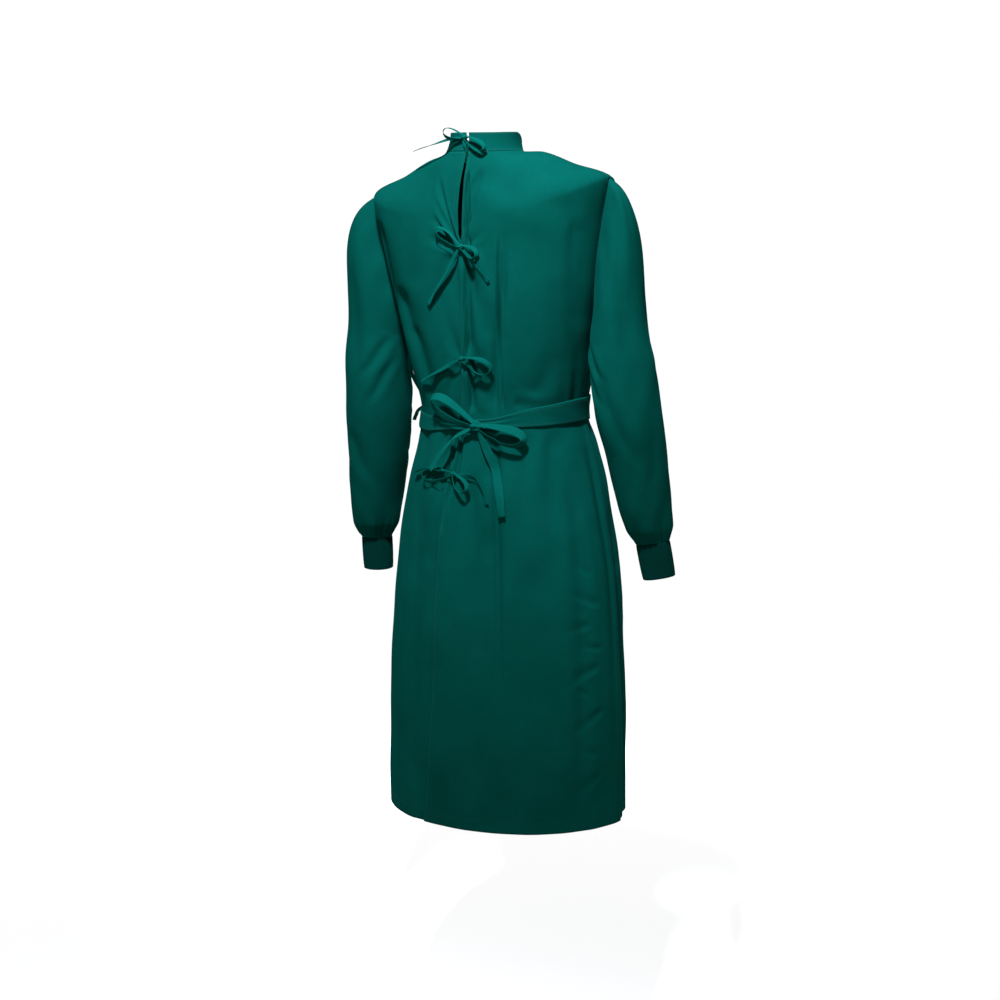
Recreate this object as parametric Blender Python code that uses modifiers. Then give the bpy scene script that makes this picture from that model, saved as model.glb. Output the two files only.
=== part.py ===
"""Surgical gown in its worn, filled-out shape with no wearer: open down the back, with four ties,
a belt, gathered sleeves and rib cuffs. Metres, +Z up, the front faces -Y, the wearer's right is -X.
The origin is at the middle of the neck base, where the gown hangs."""
import math

import bpy
import numpy as np

WALL = 0.0016
SEAM = 0.0005
TUCK = 0.0040
TILT = -0.060
HEM_TILT = -0.045
TAPE = 0.0014
BELT_WALL = 0.0018
CUFF_WALL = 0.0022
CUFF_LENGTH = 0.062
CUFF_RIBS = 22
RIB_RISE = 0.0006

TIP_LINE, ARMPIT_LINE, BELT_LINE = 0.12, 0.29, 0.445
COLLAR_LINE = -0.036

# Body sections from above the collar down to the hem, in metres. A section's side lies on the
# shoulder ridge or the side seam, so the upper sections are tilted. The first only places the
# neck tie's loops, which stand above the collar.
SECTION_COLUMNS = (
    "line", "z_back", "z_side", "z_front", "half_width", "y_side", "back_y", "front_y", "squareness",
)
SECTIONS = (
    (-0.090, 0.100, 0.100, 0.050, 0.0630, 0.001, 0.0600, -0.058, 2.0),
    (-0.036, 0.042, 0.042, 0.000, 0.0625, 0.001, 0.0600, -0.058, 2.0),
    (0.000, 0.010, 0.010, -0.036, 0.0715, 0.000, 0.0660, -0.064, 2.0),
    (0.030, -0.018, 0.003, -0.062, 0.1120, -0.003, 0.0730, -0.084, 2.0),
    (0.070, -0.055, -0.019, -0.096, 0.1670, -0.008, 0.0800, -0.106, 2.1),
    (0.120, -0.100, -0.049, -0.135, 0.2370, -0.014, 0.0850, -0.126, 2.3),
    (0.180, -0.158, -0.130, -0.180, 0.2230, -0.026, 0.0860, -0.142, 2.3),
    (0.240, -0.222, -0.208, -0.232, 0.2080, -0.035, 0.0840, -0.152, 2.3),
    (0.290, -0.278, -0.276, -0.280, 0.1940, -0.042, 0.0810, -0.158, 2.2),
    (0.360, -0.355, -0.355, -0.355, 0.1770, -0.050, 0.0750, -0.160, 2.1),
    (0.445, -0.445, -0.445, -0.445, 0.1600, -0.060, 0.0680, -0.164, 2.0),
    (0.500, -0.500, -0.500, -0.500, 0.1720, -0.069, 0.0730, -0.180, 2.0),
    (0.570, -0.570, -0.570, -0.570, 0.1910, -0.075, 0.0860, -0.192, 2.0),
    (0.680, -0.680, -0.680, -0.680, 0.2140, -0.074, 0.0970, -0.196, 2.0),
    (0.800, -0.800, -0.800, -0.800, 0.2270, -0.073, 0.1020, -0.198, 2.0),
    (1.000, -1.000, -1.000, -1.000, 0.2375, -0.072, 0.1050, -0.199, 2.0),
    (1.175, -1.180, -1.180, -1.180, 0.2400, -0.071, 0.1050, -0.200, 2.0),
)

# Where each back's free edge lies, as distance from the middle towards the wearer's left.
EDGE_COLUMNS = ("line", "right_edge", "left_edge")
EDGES = (
    (-0.036, -0.0040, 0.0010),
    (0.000, -0.0070, -0.0025),
    (0.080, -0.0065, 0.0020),
    (0.145, -0.0085, 0.0025),
    (0.178, -0.0020, -0.0100),
    (0.250, 0.0000, -0.0300),
    (0.360, 0.0020, -0.0350),
    (0.445, 0.0120, -0.0350),
    (0.500, 0.0270, -0.0350),
    (0.570, 0.0310, -0.0350),
    (0.740, 0.0420, -0.0380),
    (0.840, 0.0450, -0.0420),
    (1.175, 0.0740, -0.0500),
)

# The largest folds of the body: angles in degrees from the middle of the back towards the
# wearer's right, rise in metres along the outward normal.
FOLD_COLUMNS = ("angle_top", "line_top", "angle_bottom", "line_bottom", "half_width", "rise")
FOLDS = (
    (20.0, 0.165, 22.0, 0.960, 0.0085, -0.0085),
    (26.0, 0.190, 28.0, 0.900, 0.0120, 0.0016),
    (66.0, 0.520, 60.0, 1.230, 0.0200, -0.0055),
    (-42.0, 0.560, -50.0, 1.230, 0.0220, -0.0050),
    (128.0, 0.500, 132.0, 1.230, 0.0230, -0.0070),
    (158.0, 0.480, 160.0, 1.230, 0.0220, -0.0060),
    (-160.0, 0.520, -158.0, 1.230, 0.0240, -0.0070),
    (-128.0, 0.500, -131.0, 1.230, 0.0220, -0.0060),
    (140.0, 0.230, 150.0, 0.430, 0.0150, -0.0050),
    (-140.0, 0.230, -152.0, 0.430, 0.0150, -0.0050),
)

# Sections of the arms from just under the armpit to the wrist, metres; lean is the rise of a
# section towards the outside.
ARM_COLUMNS = ("z", "x", "y", "across", "fore", "lean")
RIGHT_ARM = (
    (-0.305, -0.2470, -0.040, 0.0500, 0.0590, 0.00),
    (-0.345, -0.2505, -0.042, 0.0550, 0.0620, 0.00),
    (-0.430, -0.2610, -0.046, 0.0550, 0.0630, 0.00),
    (-0.510, -0.2713, -0.060, 0.0500, 0.0580, 0.04),
    (-0.590, -0.2785, -0.075, 0.0440, 0.0530, 0.10),
    (-0.632, -0.2827, -0.085, 0.0390, 0.0460, 0.15),
    (-0.652, -0.2860, -0.089, 0.0315, 0.0345, 0.18),
    (-0.659, -0.2872, -0.090, 0.0285, 0.0300, 0.19),
)
LEFT_ARM = (
    (-0.315, 0.2620, -0.036, 0.0560, 0.0620, 0.00),
    (-0.360, 0.2650, -0.036, 0.0580, 0.0650, 0.00),
    (-0.450, 0.2721, -0.045, 0.0585, 0.0660, 0.00),
    (-0.540, 0.2854, -0.060, 0.0550, 0.0620, 0.00),
    (-0.631, 0.3022, -0.075, 0.0470, 0.0560, 0.00),
    (-0.680, 0.3090, -0.082, 0.0410, 0.0480, 0.00),
    (-0.704, 0.3130, -0.086, 0.0310, 0.0350, 0.00),
    (-0.712, 0.3140, -0.088, 0.0280, 0.0300, 0.00),
)
ARMHOLE_BACK = 7.0
ARMHOLE_FRONT = 27.0
GATHERS = 6
GATHER_DEPTH = 0.0030

# Folds of the sleeves: angle round the arm from the outside through the front, degrees.
SLEEVE_FOLD_COLUMNS = ("round_top", "z_top", "round_bottom", "z_bottom", "half_width", "rise")
RIGHT_SLEEVE_FOLDS = (
    (300.0, -0.16, 330.0, -0.42, 0.016, -0.0045),
    (250.0, -0.36, 300.0, -0.52, 0.014, -0.0040),
    (120.0, -0.30, 60.0, -0.50, 0.016, -0.0050),
)
LEFT_SLEEVE_FOLDS = (
    (320.0, -0.16, 260.0, -0.42, 0.016, -0.0050),
    (300.0, -0.48, 250.0, -0.60, 0.014, -0.0040),
    (60.0, -0.28, 120.0, -0.48, 0.016, -0.0050),
)

GREEN = (0.004, 0.075, 0.062, 1.0)
DARK_GREEN = (0.003, 0.040, 0.034, 1.0)


def table(columns, rows):
    return {name: np.array([row[i] for row in rows], float) for i, name in enumerate(columns)}


def eased(a, b, x):
    t = np.clip((x - a) / (b - a), 0.0, 1.0)
    return t * t * (3.0 - 2.0 * t)


def read(values, key, column, at):
    """A column of a table at any place along its key, smooth and without overshoot."""
    x, y = values[key], values[column]
    if x[0] > x[-1]:
        x, y = x[::-1], y[::-1]
    step = np.diff(y) / np.diff(x)
    both = step[:-1] * step[1:]
    total = np.where(both > 0.0, step[:-1] + step[1:], 1.0)
    slope = np.concatenate([step[:1], np.where(both > 0.0, 2.0 * both / total, 0.0), step[-1:]])
    at = np.clip(np.asarray(at, float), x[0], x[-1])
    i = np.clip(np.searchsorted(x, at) - 1, 0, len(x) - 2)
    h = x[i + 1] - x[i]
    t = (at - x[i]) / h
    return (
        (2 * t**3 - 3 * t**2 + 1) * y[i]
        + (t**3 - 2 * t**2 + t) * h * slope[i]
        + (3 * t**2 - 2 * t**3) * y[i + 1]
        + (t**3 - t**2) * h * slope[i + 1]
    )


BODY = table(SECTION_COLUMNS, SECTIONS)
EDGE = table(EDGE_COLUMNS, EDGES)
FOLD = table(FOLD_COLUMNS, FOLDS)


def body(angle, line):
    """Point of the smooth body: angle in degrees from the middle of the back to the right."""
    turn = np.radians(angle)
    size = {name: read(BODY, "line", name, line) for name in SECTION_COLUMNS[1:]}
    power = 2.0 / size["squareness"]
    behind = np.cos(turn) > 0.0
    across = np.sign(np.sin(turn)) * np.abs(np.sin(turn)) ** power
    along = np.abs(np.cos(turn)) ** power
    depth = np.where(behind, size["back_y"] - size["y_side"], size["front_y"] - size["y_side"])
    z_end = np.where(behind, size["z_back"], size["z_front"])
    x = -size["half_width"] * across
    y = size["y_side"] + depth * along
    z = size["z_side"] + (z_end - size["z_side"]) * np.abs(np.cos(turn)) ** 1.6
    z = z + TILT * x * eased(-0.50, -0.10, z) * eased(0.03, 0.12, np.abs(x))
    z = z + HEM_TILT * x * eased(-0.80, -1.175, z)
    return np.stack([x, y, z], axis=-1)


def normal_of(surface, u, v, step_u, step_v):
    du = surface(u + step_u, v) - surface(u - step_u, v)
    dv = surface(u, v + step_v) - surface(u, v - step_v)
    n = np.cross(dv, du)
    return n / np.maximum(np.linalg.norm(n, axis=-1, keepdims=True), 1e-12)


def fold_rise(angle, line):
    """How far the folds move the body's cloth out at a place."""
    angle, line = np.broadcast_arrays(np.asarray(angle, float), np.asarray(line, float))
    radius = read(BODY, "line", "half_width", line)
    rise = np.zeros(angle.shape)
    for i in range(len(FOLDS)):
        top, low = FOLD["line_top"][i], FOLD["line_bottom"][i]
        way = np.clip((line - top) / (low - top), 0.0, 1.0)
        middle = FOLD["angle_top"][i] + (FOLD["angle_bottom"][i] - FOLD["angle_top"][i]) * way
        away = np.radians((angle - middle + 180.0) % 360.0 - 180.0) * radius / FOLD["half_width"][i]
        ends = eased(top - 0.02, top + 0.09, line) * (1.0 - eased(low - 0.22, low, line))
        rise = rise + FOLD["rise"][i] * ends * np.exp(-away * away)
    return rise * (1.0 - 0.95 * np.exp(-(((line - BELT_LINE) / 0.035) ** 2)))


def cloth_point(angle, line, out=0.0):
    """Point of the folded cloth, moved out by a distance."""
    angle, line = np.broadcast_arrays(np.asarray(angle, float), np.asarray(line, float))
    base = body(angle, line)
    n = normal_of(body, angle, line, 0.4, 0.002)
    return base + n * (fold_rise(angle, line) + out)[..., None]


def angle_at(x, line):
    """The angle of the back's place that lies x metres towards the wearer's left."""
    ratio = np.clip(-x / read(BODY, "line", "half_width", line), -1.0, 1.0)
    power = read(BODY, "line", "squareness", line) / 2.0
    return np.degrees(np.arcsin(np.sign(ratio) * np.abs(ratio) ** power))


def on_back(x, z, out):
    """Point over the back at a given place across and height."""
    line = -z
    for _ in range(12):
        line = line + (cloth_point(angle_at(x, line), line)[..., 2] - z)
    return cloth_point(angle_at(x, line), line, out)


def armhole_share(line):
    share = np.clip((line - TIP_LINE) / (ARMPIT_LINE - TIP_LINE), 0.0, 1.0)
    return np.sin(np.pi * share) ** 0.6


def side_angle(line, front):
    """Where a panel ends: the shoulder seam, the armhole or the side seam."""
    reach = ARMHOLE_FRONT if front else -ARMHOLE_BACK
    return 90.0 + reach * armhole_share(line)


def material(name, colour, roughness):
    found = bpy.data.materials.new(name)
    found.use_nodes = True
    shader = found.node_tree.nodes["Principled BSDF"]
    shader.inputs["Base Color"].default_value = colour
    shader.inputs["Roughness"].default_value = roughness
    shader.inputs["Metallic"].default_value = 0.0
    return found


def grid_faces(rows, columns, closed):
    faces = []
    for r in range(rows - 1):
        for c in range(columns if closed else columns - 1):
            d = (c + 1) % columns
            faces.append((r * columns + c, (r + 1) * columns + c, (r + 1) * columns + d, r * columns + d))
    return faces


def surface_object(name, points, closed, look, collection, wall):
    """An open surface through a grid of points, made a wall of cloth by Solidify inwards."""
    rows, columns = points.shape[:2]
    mesh = bpy.data.meshes.new(name)
    mesh.from_pydata(points.reshape(-1, 3).tolist(), [], grid_faces(rows, columns, closed))
    mesh.materials.append(look)
    mesh.shade_smooth()
    made = bpy.data.objects.new(name, mesh)
    collection.objects.link(made)
    thick = made.modifiers.new("wall", "SOLIDIFY")
    thick.thickness = wall
    thick.offset = -1.0
    thick.use_even_offset = False
    return made


PANEL_LINES = np.array([
    0.0, 0.015, 0.032, 0.05, 0.068, 0.087, 0.105, 0.12, 0.136, 0.152, 0.165, 0.18, 0.204, 0.232,
    0.262, 0.29, 0.325, 0.36, 0.392, 0.42, 0.445, 0.47, 0.5, 0.545, 0.6, 0.67, 0.75, 0.84, 0.93,
    1.02, 1.1, 1.175,
])


def trimmed(angle, line, way):
    """An edge's angle, moved back from its seam, and further along the ridge of the shoulder."""
    gap = SEAM * (1.9 - 0.9 * eased(0.10, 0.14, line))
    return angle - way * np.degrees(gap / read(BODY, "line", "half_width", line))


def between(start, stops, share):
    """Columns that divide the way between two edges by given shares, a row per line."""
    return start[:, None] + (stops - start)[:, None] * share[None, :]


def back_right():
    line = PANEL_LINES
    edge = trimmed(angle_at(read(EDGE, "line", "right_edge", line), line), line, 0.0)
    seam = trimmed(side_angle(line, False), line, 1.0)
    before = between(edge, np.full(len(line), 18.5), np.linspace(0.0, 1.0, 6))
    fold = between(np.full(len(line), 18.5), np.full(len(line), 37.0), np.linspace(0.0, 1.0, 9))
    after = between(np.full(len(line), 37.0), seam, np.linspace(0.0, 1.0, 8))
    angle = np.concatenate([before, fold[:, 1:], after[:, 1:]], axis=1)
    return cloth_point(angle, np.repeat(line[:, None], angle.shape[1], axis=1))


def tuck_at(x, line):
    """How far the left back lies under the right back's lap."""
    lap = read(EDGE, "line", "right_edge", line)
    return -TUCK * eased(0.10, 0.15, line) * (1.0 - eased(lap + 0.006, lap + 0.036, x))


def back_left():
    line = PANEL_LINES
    lap = read(EDGE, "line", "right_edge", line)
    free = read(EDGE, "line", "left_edge", line)
    middle = np.maximum(lap + 0.006, free + 0.010)
    edge = angle_at(free, line)
    stop = angle_at(middle, line)
    seam = -trimmed(side_angle(line, False), line, 1.0)
    under = between(edge, stop, np.linspace(0.0, 1.0, 4))
    shown = between(stop, seam, np.array([0.0, 0.06, 0.12, 0.2, 0.3, 0.42, 0.55, 0.68, 0.8, 0.9, 1.0]))
    angle = np.concatenate([under, shown[:, 1:]], axis=1)
    rows = np.repeat(line[:, None], angle.shape[1], axis=1)
    x = cloth_point(angle, rows)[..., 0]
    points = cloth_point(angle, rows, tuck_at(x, rows))
    return points[:, ::-1]


def front():
    line = PANEL_LINES
    side = trimmed(side_angle(line, True), line, -1.0)
    angle = between(side, 360.0 - side, np.linspace(0.0, 1.0, 18))
    return cloth_point(angle, np.repeat(line[:, None], angle.shape[1], axis=1))


def collar():
    line = np.array([COLLAR_LINE, -0.024, -0.012, -SEAM])
    start = angle_at(read(EDGE, "line", "right_edge", line), line)
    stop = 360.0 + angle_at(read(EDGE, "line", "left_edge", line), line)
    angle = between(start, stop, np.linspace(0.0, 1.0, 29))
    return cloth_point(angle, np.repeat(line[:, None], angle.shape[1], axis=1))


def arm(values, around, z, out=0.0):
    """Point of an arm's section: around in degrees from the outside through the front."""
    turn = np.radians(around)
    side = np.sign(values["x"][0])
    across = read(values, "z", "across", z) + out
    fore = read(values, "z", "fore", z) + out
    x = read(values, "z", "x", z) + side * across * np.cos(turn)
    y = read(values, "z", "y", z) - fore * np.sin(turn)
    rise = read(values, "z", "lean", z) * across * np.cos(turn)
    return np.stack([x, y, z + rise], axis=-1)


def armhole(side, around):
    """Point of the armhole's seam: from the shoulder tip down the front and up the back."""
    share = (1.0 - np.cos(np.radians(around))) / 2.0
    line = TIP_LINE + (ARMPIT_LINE - TIP_LINE) * share
    ahead = np.asarray(around) % 360.0 <= 180.0
    angle = np.where(ahead, side_angle(line, True), side_angle(line, False))
    return cloth_point(-side * angle, line)


HEAD_OUT, HEAD_SPREAD = 0.86, 0.42
RIGHT_DROP, LEFT_DROP = 0.44, 0.24
RIGHT_FULLNESS, LEFT_FULLNESS = 0.80, 1.15


def sleeve(values, folds, fullness, drop, around_count=24):
    """Rows from the armhole seam to the cuff seam."""
    side = np.sign(values["x"][0])
    around = np.linspace(0.0, 360.0, around_count, endpoint=False)
    turn = np.radians(around)
    start = armhole(side, around)
    top = values["z"][0]
    stop = arm(values, around, np.full(around_count, top))
    leave = np.stack([
        side * HEAD_OUT * (0.6 + 0.4 * np.cos(turn)),
        -HEAD_SPREAD * np.sin(turn),
        -drop - 0.45 * (1.0 - np.cos(turn)) / 2.0,
    ], axis=-1)
    leave = leave / np.linalg.norm(leave, axis=-1, keepdims=True)
    below = arm(values, around, np.full(around_count, top - 0.02)) - stop
    arrive = below / np.linalg.norm(below, axis=-1, keepdims=True)
    far = np.linalg.norm(stop - start, axis=-1, keepdims=True)
    start = start + leave * SEAM * 1.4
    rows = []
    for t in np.linspace(0.0, 1.0, 9):
        rows.append(
            (2 * t**3 - 3 * t**2 + 1) * start
            + (t**3 - 2 * t**2 + t) * far * leave * fullness
            + (3 * t**2 - 2 * t**3) * stop
            + (t**3 - t**2) * far * arrive
        )
    wrist = values["z"][-1]
    steps = np.array([0.1, 0.21, 0.32, 0.44, 0.56, 0.67, 0.77, 0.85, 0.91, 0.95, 0.98, 1.0])
    for z in top + (wrist + SEAM - top) * steps:
        rows.append(arm(values, around, np.full(around_count, z)))
    points = np.array(rows)
    height = points[..., 2]
    centre = points.mean(axis=1, keepdims=True)
    out = points - centre
    out[..., 2] = 0.0
    out = out / np.linalg.norm(out, axis=-1, keepdims=True)
    round_now = np.broadcast_to(around, height.shape)
    rise = np.zeros(height.shape)
    for row in folds:
        fold = dict(zip(SLEEVE_FOLD_COLUMNS, row))
        way = np.clip((height - fold["z_top"]) / (fold["z_bottom"] - fold["z_top"]), 0.0, 1.0)
        middle = fold["round_top"] + (fold["round_bottom"] - fold["round_top"]) * way
        away = np.radians((round_now - middle + 180.0) % 360.0 - 180.0) * 0.055 / fold["half_width"]
        ends = eased(0.0, 0.35, way) * (1.0 - eased(0.65, 1.0, way))
        rise += fold["rise"] * ends * np.exp(-away * away)
    gather = eased(wrist + 0.085, wrist + 0.022, height)
    gather = gather * (1.0 - eased(wrist + 0.012, wrist + 0.001, height))
    uneven = 0.7 + 0.3 * np.cos(2.0 * turn + 0.6)
    rise += GATHER_DEPTH * gather * uneven * np.cos(GATHERS * turn)
    points = points + out * rise[..., None]
    return points[:, ::-1] if side > 0 else points


def cuff(values):
    """A knit tube below a sleeve, its ribs raised in the outer points."""
    side = np.sign(values["x"][0])
    wrist = values["z"][-1]
    lean = read(values, "z", "lean", wrist)
    down = np.array([side * lean, -0.06, -1.0])
    down = down / np.linalg.norm(down)
    count = CUFF_RIBS * 2
    around = np.linspace(0.0, 360.0, count, endpoint=False)
    ring = arm(values, around, np.full(count, wrist))
    centre = ring.mean(axis=0)
    spoke = ring - centre
    radius = np.linalg.norm(spoke, axis=1, keepdims=True)
    shares = (0.0, 1.0)
    flare = (1.0, 0.96)
    rise = 1.0 + np.where(np.arange(count) % 2 == 0, RIB_RISE, 0.0)[:, None] / radius
    inside = 1.0 - CUFF_WALL / radius
    outer = [centre + down * (CUFF_LENGTH * s) + spoke * f * rise for s, f in zip(shares, flare)]
    inner = [centre + down * (CUFF_LENGTH * s) + spoke * f * inside for s, f in zip(shares, flare)]
    points = np.array(outer + inner[::-1])
    return points[:, ::-1] if side > 0 else points


def tube_object(name, points, look, collection):
    """A closed sleeve of cloth: rings down the outside, then up the inside, joined at the end."""
    rows, columns = points.shape[:2]
    faces = grid_faces(rows, columns, True)
    last = (rows - 1) * columns
    for c in range(columns):
        d = (c + 1) % columns
        faces.append((last + c, c, d, last + d))
    mesh = bpy.data.meshes.new(name)
    mesh.from_pydata(points.reshape(-1, 3).tolist(), [], faces)
    mesh.materials.append(look)
    mesh.shade_smooth()
    made = bpy.data.objects.new(name, mesh)
    collection.objects.link(made)
    return made


# The belt round the waist: height of its middle and its width, by angle.
BELT_COLUMNS = ("angle", "z", "width")
BELT = (
    (-180.0, -0.436, 0.038),
    (-90.0, -0.452, 0.034),
    (-40.0, -0.462, 0.030),
    (-8.0, -0.458, 0.018),
    (16.0, -0.452, 0.018),
    (45.0, -0.440, 0.032),
    (90.0, -0.432, 0.040),
    (180.0, -0.436, 0.038),
)
BELT_OUT = 0.0031


def belt():
    values = table(BELT_COLUMNS, BELT)
    angle = np.linspace(-180.0, 180.0, 48, endpoint=False)
    middle = read(values, "angle", "z", angle)
    width = read(values, "angle", "width", angle)
    rows = []
    for share in (0.5, 0.17, -0.17, -0.5):
        line = -(middle + share * width)
        rows.append(body(angle, line) + normal_of(body, angle, line, 0.4, 0.002) * BELT_OUT)
    return np.array(rows)


# Ties, in metres. A knot is placed by its distance towards the wearer's left and its height. A
# loop's heading is in degrees from the wearer's left upwards; it stands on its edge. A tail runs
# through anchors (towards the left, up, out from the cloth) measured from the knot.
LOOP_COLUMNS = ("width", "length", "heading", "spread", "out", "lift")
TIES = {
    "tie_neck": {
        "knot": (0.0006, 0.0335),
        "size": (0.010, 0.009, 0.009),
        "rest": 0.0051,
        "loops": (
            (0.008, 0.043, 14.0, 0.0065, 0.0075, 0.004),
            (0.008, 0.046, 206.0, 0.0065, 0.0075, 0.003),
        ),
        "tails": (
            (0.0070, (
                (0.001, 0.0, 0.0065), (0.030, -0.003, 0.0070),
                (0.072, -0.012, 0.0080), (0.118, -0.022, 0.0080),
            )),
            (0.0070, ((0.0, -0.001, 0.0065), (-0.001, -0.014, 0.0070), (-0.010, -0.027, 0.0100))),
        ),
    },
    "tie_second": {
        "knot": (-0.008, -0.149),
        "size": (0.011, 0.010, 0.009),
        "rest": 0.0051,
        "loops": (
            (0.009, 0.056, 31.0, 0.0075, 0.0075, 0.004),
            (0.008, 0.038, 202.0, 0.0070, 0.0075, 0.004),
        ),
        "tails": (
            (0.0085, (
                (0.001, 0.0, 0.0065), (0.028, -0.039, 0.0055),
                (0.052, -0.072, 0.0050), (0.075, -0.101, 0.0045),
            )),
            (0.0085, ((0.0, -0.001, 0.0065), (-0.026, -0.028, 0.0055), (-0.053, -0.057, 0.0045))),
        ),
    },
    "tie_third": {
        "knot": (-0.0025, -0.340),
        "size": (0.010, 0.009, 0.009),
        "rest": 0.0051,
        "loops": (
            (0.008, 0.058, 196.0, 0.0110, 0.0075, 0.004),
        ),
        "tails": (
            (0.0080, ((0.0, 0.0, 0.0065), (-0.017, -0.016, 0.0055), (-0.036, -0.030, 0.0045))),
            (0.0080, ((0.001, 0.0, 0.0065), (0.047, -0.022, 0.0055), (0.104, -0.048, 0.0045))),
        ),
    },
    "belt_bow": {
        "knot": (-0.027, -0.456),
        "size": (0.020, 0.018, 0.013),
        "rest": 0.0102,
        "loops": (
            (0.015, 0.096, 27.0, 0.0120, 0.0122, 0.006),
            (0.014, 0.080, 198.0, 0.0110, 0.0118, 0.006),
        ),
        "tails": (
            (0.0120, (
                (0.001, 0.0, 0.0105), (0.038, -0.024, 0.0140),
                (0.062, -0.055, 0.0185), (0.080, -0.086, 0.0200),
            )),
            (0.0150, (
                (0.0, -0.001, 0.0105), (-0.024, -0.049, 0.0090),
                (-0.044, -0.095, 0.0070), (-0.055, -0.155, 0.0055),
            )),
        ),
    },
    "tie_fourth": {
        "knot": (0.014, -0.543),
        "size": (0.010, 0.009, 0.009),
        "rest": 0.0051,
        "loops": (
            (0.007, 0.068, 351.0, 0.0085, 0.0070, 0.002),
            (0.008, 0.042, 219.0, 0.0080, 0.0075, 0.004),
        ),
        "tails": (
            (0.0070, ((0.001, 0.0005, 0.0065), (0.050, 0.006, 0.0055), (0.102, -0.010, 0.0045))),
            (0.0090, (
                (0.0, -0.001, 0.0065), (-0.046, -0.005, 0.0055),
                (-0.058, -0.018, 0.0050), (-0.070, -0.047, 0.0045),
            )),
        ),
    },
}
# The tie that stands out at the left side of the waist: its first measure is towards the front.
SIDE_TIE = {
    "knot": (-0.004, -0.447),
    "size": (0.010, 0.010, 0.010),
    "rest": 0.0084,
    "loops": (
        (0.008, 0.074, 84.0, 0.0085, 0.0095, 0.020),
    ),
    "tails": (
        (0.0080, (
            (0.0005, 0.001, 0.0090), (0.006, -0.012, 0.0220),
            (0.006, -0.034, 0.0240), (0.008, -0.060, 0.0200),
        )),
        (0.0070, (
            (-0.0005, 0.0005, 0.0095), (-0.012, -0.008, 0.0200),
            (-0.016, -0.022, 0.0250), (-0.014, -0.036, 0.0290),
        )),
    ),
}
LOOP_STEPS, TAIL_STEPS = 12, 7
LOOP_STAND, TAIL_STAND = 78.0, 8.0
LOOP_OPEN = 0.0024


def along_curve(anchors, count):
    """Points at even steps along a smooth curve through the anchors."""
    anchors = np.array(anchors, float)
    key = np.concatenate([[0.0], np.cumsum(np.linalg.norm(np.diff(anchors, axis=0), axis=1))])
    at = np.linspace(0.0, key[-1], count)
    slope = np.gradient(anchors, key, axis=0)
    i = np.clip(np.searchsorted(key, at) - 1, 0, len(key) - 2)
    h = (key[i + 1] - key[i])[:, None]
    t = ((at - key[i]) / h[:, 0])[:, None]
    return (
        (2 * t**3 - 3 * t**2 + 1) * anchors[i]
        + (t**3 - 2 * t**2 + t) * h * slope[i]
        + (3 * t**2 - 2 * t**3) * anchors[i + 1]
        + (t**3 - t**2) * h * slope[i + 1]
    )


def loop_curve(row):
    """Centre line of a bow's loop: out along its heading and back beside itself."""
    loop = dict(zip(LOOP_COLUMNS, row))
    t = np.linspace(0.0, 1.0, LOOP_STEPS)
    ahead = loop["length"] * np.sin(np.pi * t)
    beside = LOOP_OPEN * np.cos(np.pi * t) + loop["spread"] * np.sin(2.0 * np.pi * t)
    turn = math.radians(loop["heading"])
    left = ahead * math.cos(turn) - beside * math.sin(turn)
    up = ahead * math.sin(turn) + beside * math.cos(turn)
    return np.stack([left, up, loop["out"] + loop["lift"] * np.sin(np.pi * t)], axis=1)


def over_surface(place, knot, flat):
    """Maps (left, up, out) from a knot to a point and to the cloth's outward normal there."""
    across, up, out = place[:, 0] + knot[0], place[:, 1] + knot[1], place[:, 2]
    near = flat(across, up, out)
    return near, flat(across, up, out + 0.004) - near


def on_neck(x, z, out):
    """Point behind the collar, on a gentler curve than the collar's own."""
    return np.stack([x, 0.0605 + out - 1.5 * x * x, z], axis=-1)


def on_left_side(ahead, z, out):
    """Point over the left side seam at a given place towards the front and height."""
    angle = -90.0 - np.degrees(ahead / read(BODY, "line", "half_width", -z))
    return cloth_point(angle, -z, out)


def tape_points(path, width, stand, knot, flat):
    centre, outward = over_surface(path, knot, flat)
    outward = outward / np.linalg.norm(outward, axis=1, keepdims=True)
    ahead = np.gradient(centre, axis=0)
    ahead = ahead / np.linalg.norm(ahead, axis=1, keepdims=True)
    beside = np.cross(outward, ahead)
    beside = beside / np.linalg.norm(beside, axis=1, keepdims=True)
    lift = np.cross(ahead, beside)
    turn = math.radians(stand)
    wide = beside * math.cos(turn) + lift * math.sin(turn)
    thin = np.cross(ahead, wide)
    half, thick = width / 2.0, TAPE / 2.0
    corners = ((-1, -1), (1, -1), (1, 1), (-1, 1))
    return np.stack([centre + wide * a * half + thin * b * thick for a, b in corners], axis=1)


def tape_object(name, points, look, collection):
    """A flat tape along its centre line, closed at both ends."""
    rows, columns = points.shape[:2]
    faces = grid_faces(rows, columns, True)
    last = (rows - 1) * columns
    faces.append(tuple(range(columns)))
    faces.append(tuple(last + c for c in reversed(range(columns))))
    mesh = bpy.data.meshes.new(name)
    mesh.from_pydata(points.reshape(-1, 3).tolist(), [], faces)
    mesh.materials.append(look)
    made = bpy.data.objects.new(name, mesh)
    collection.objects.link(made)
    return made


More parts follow.
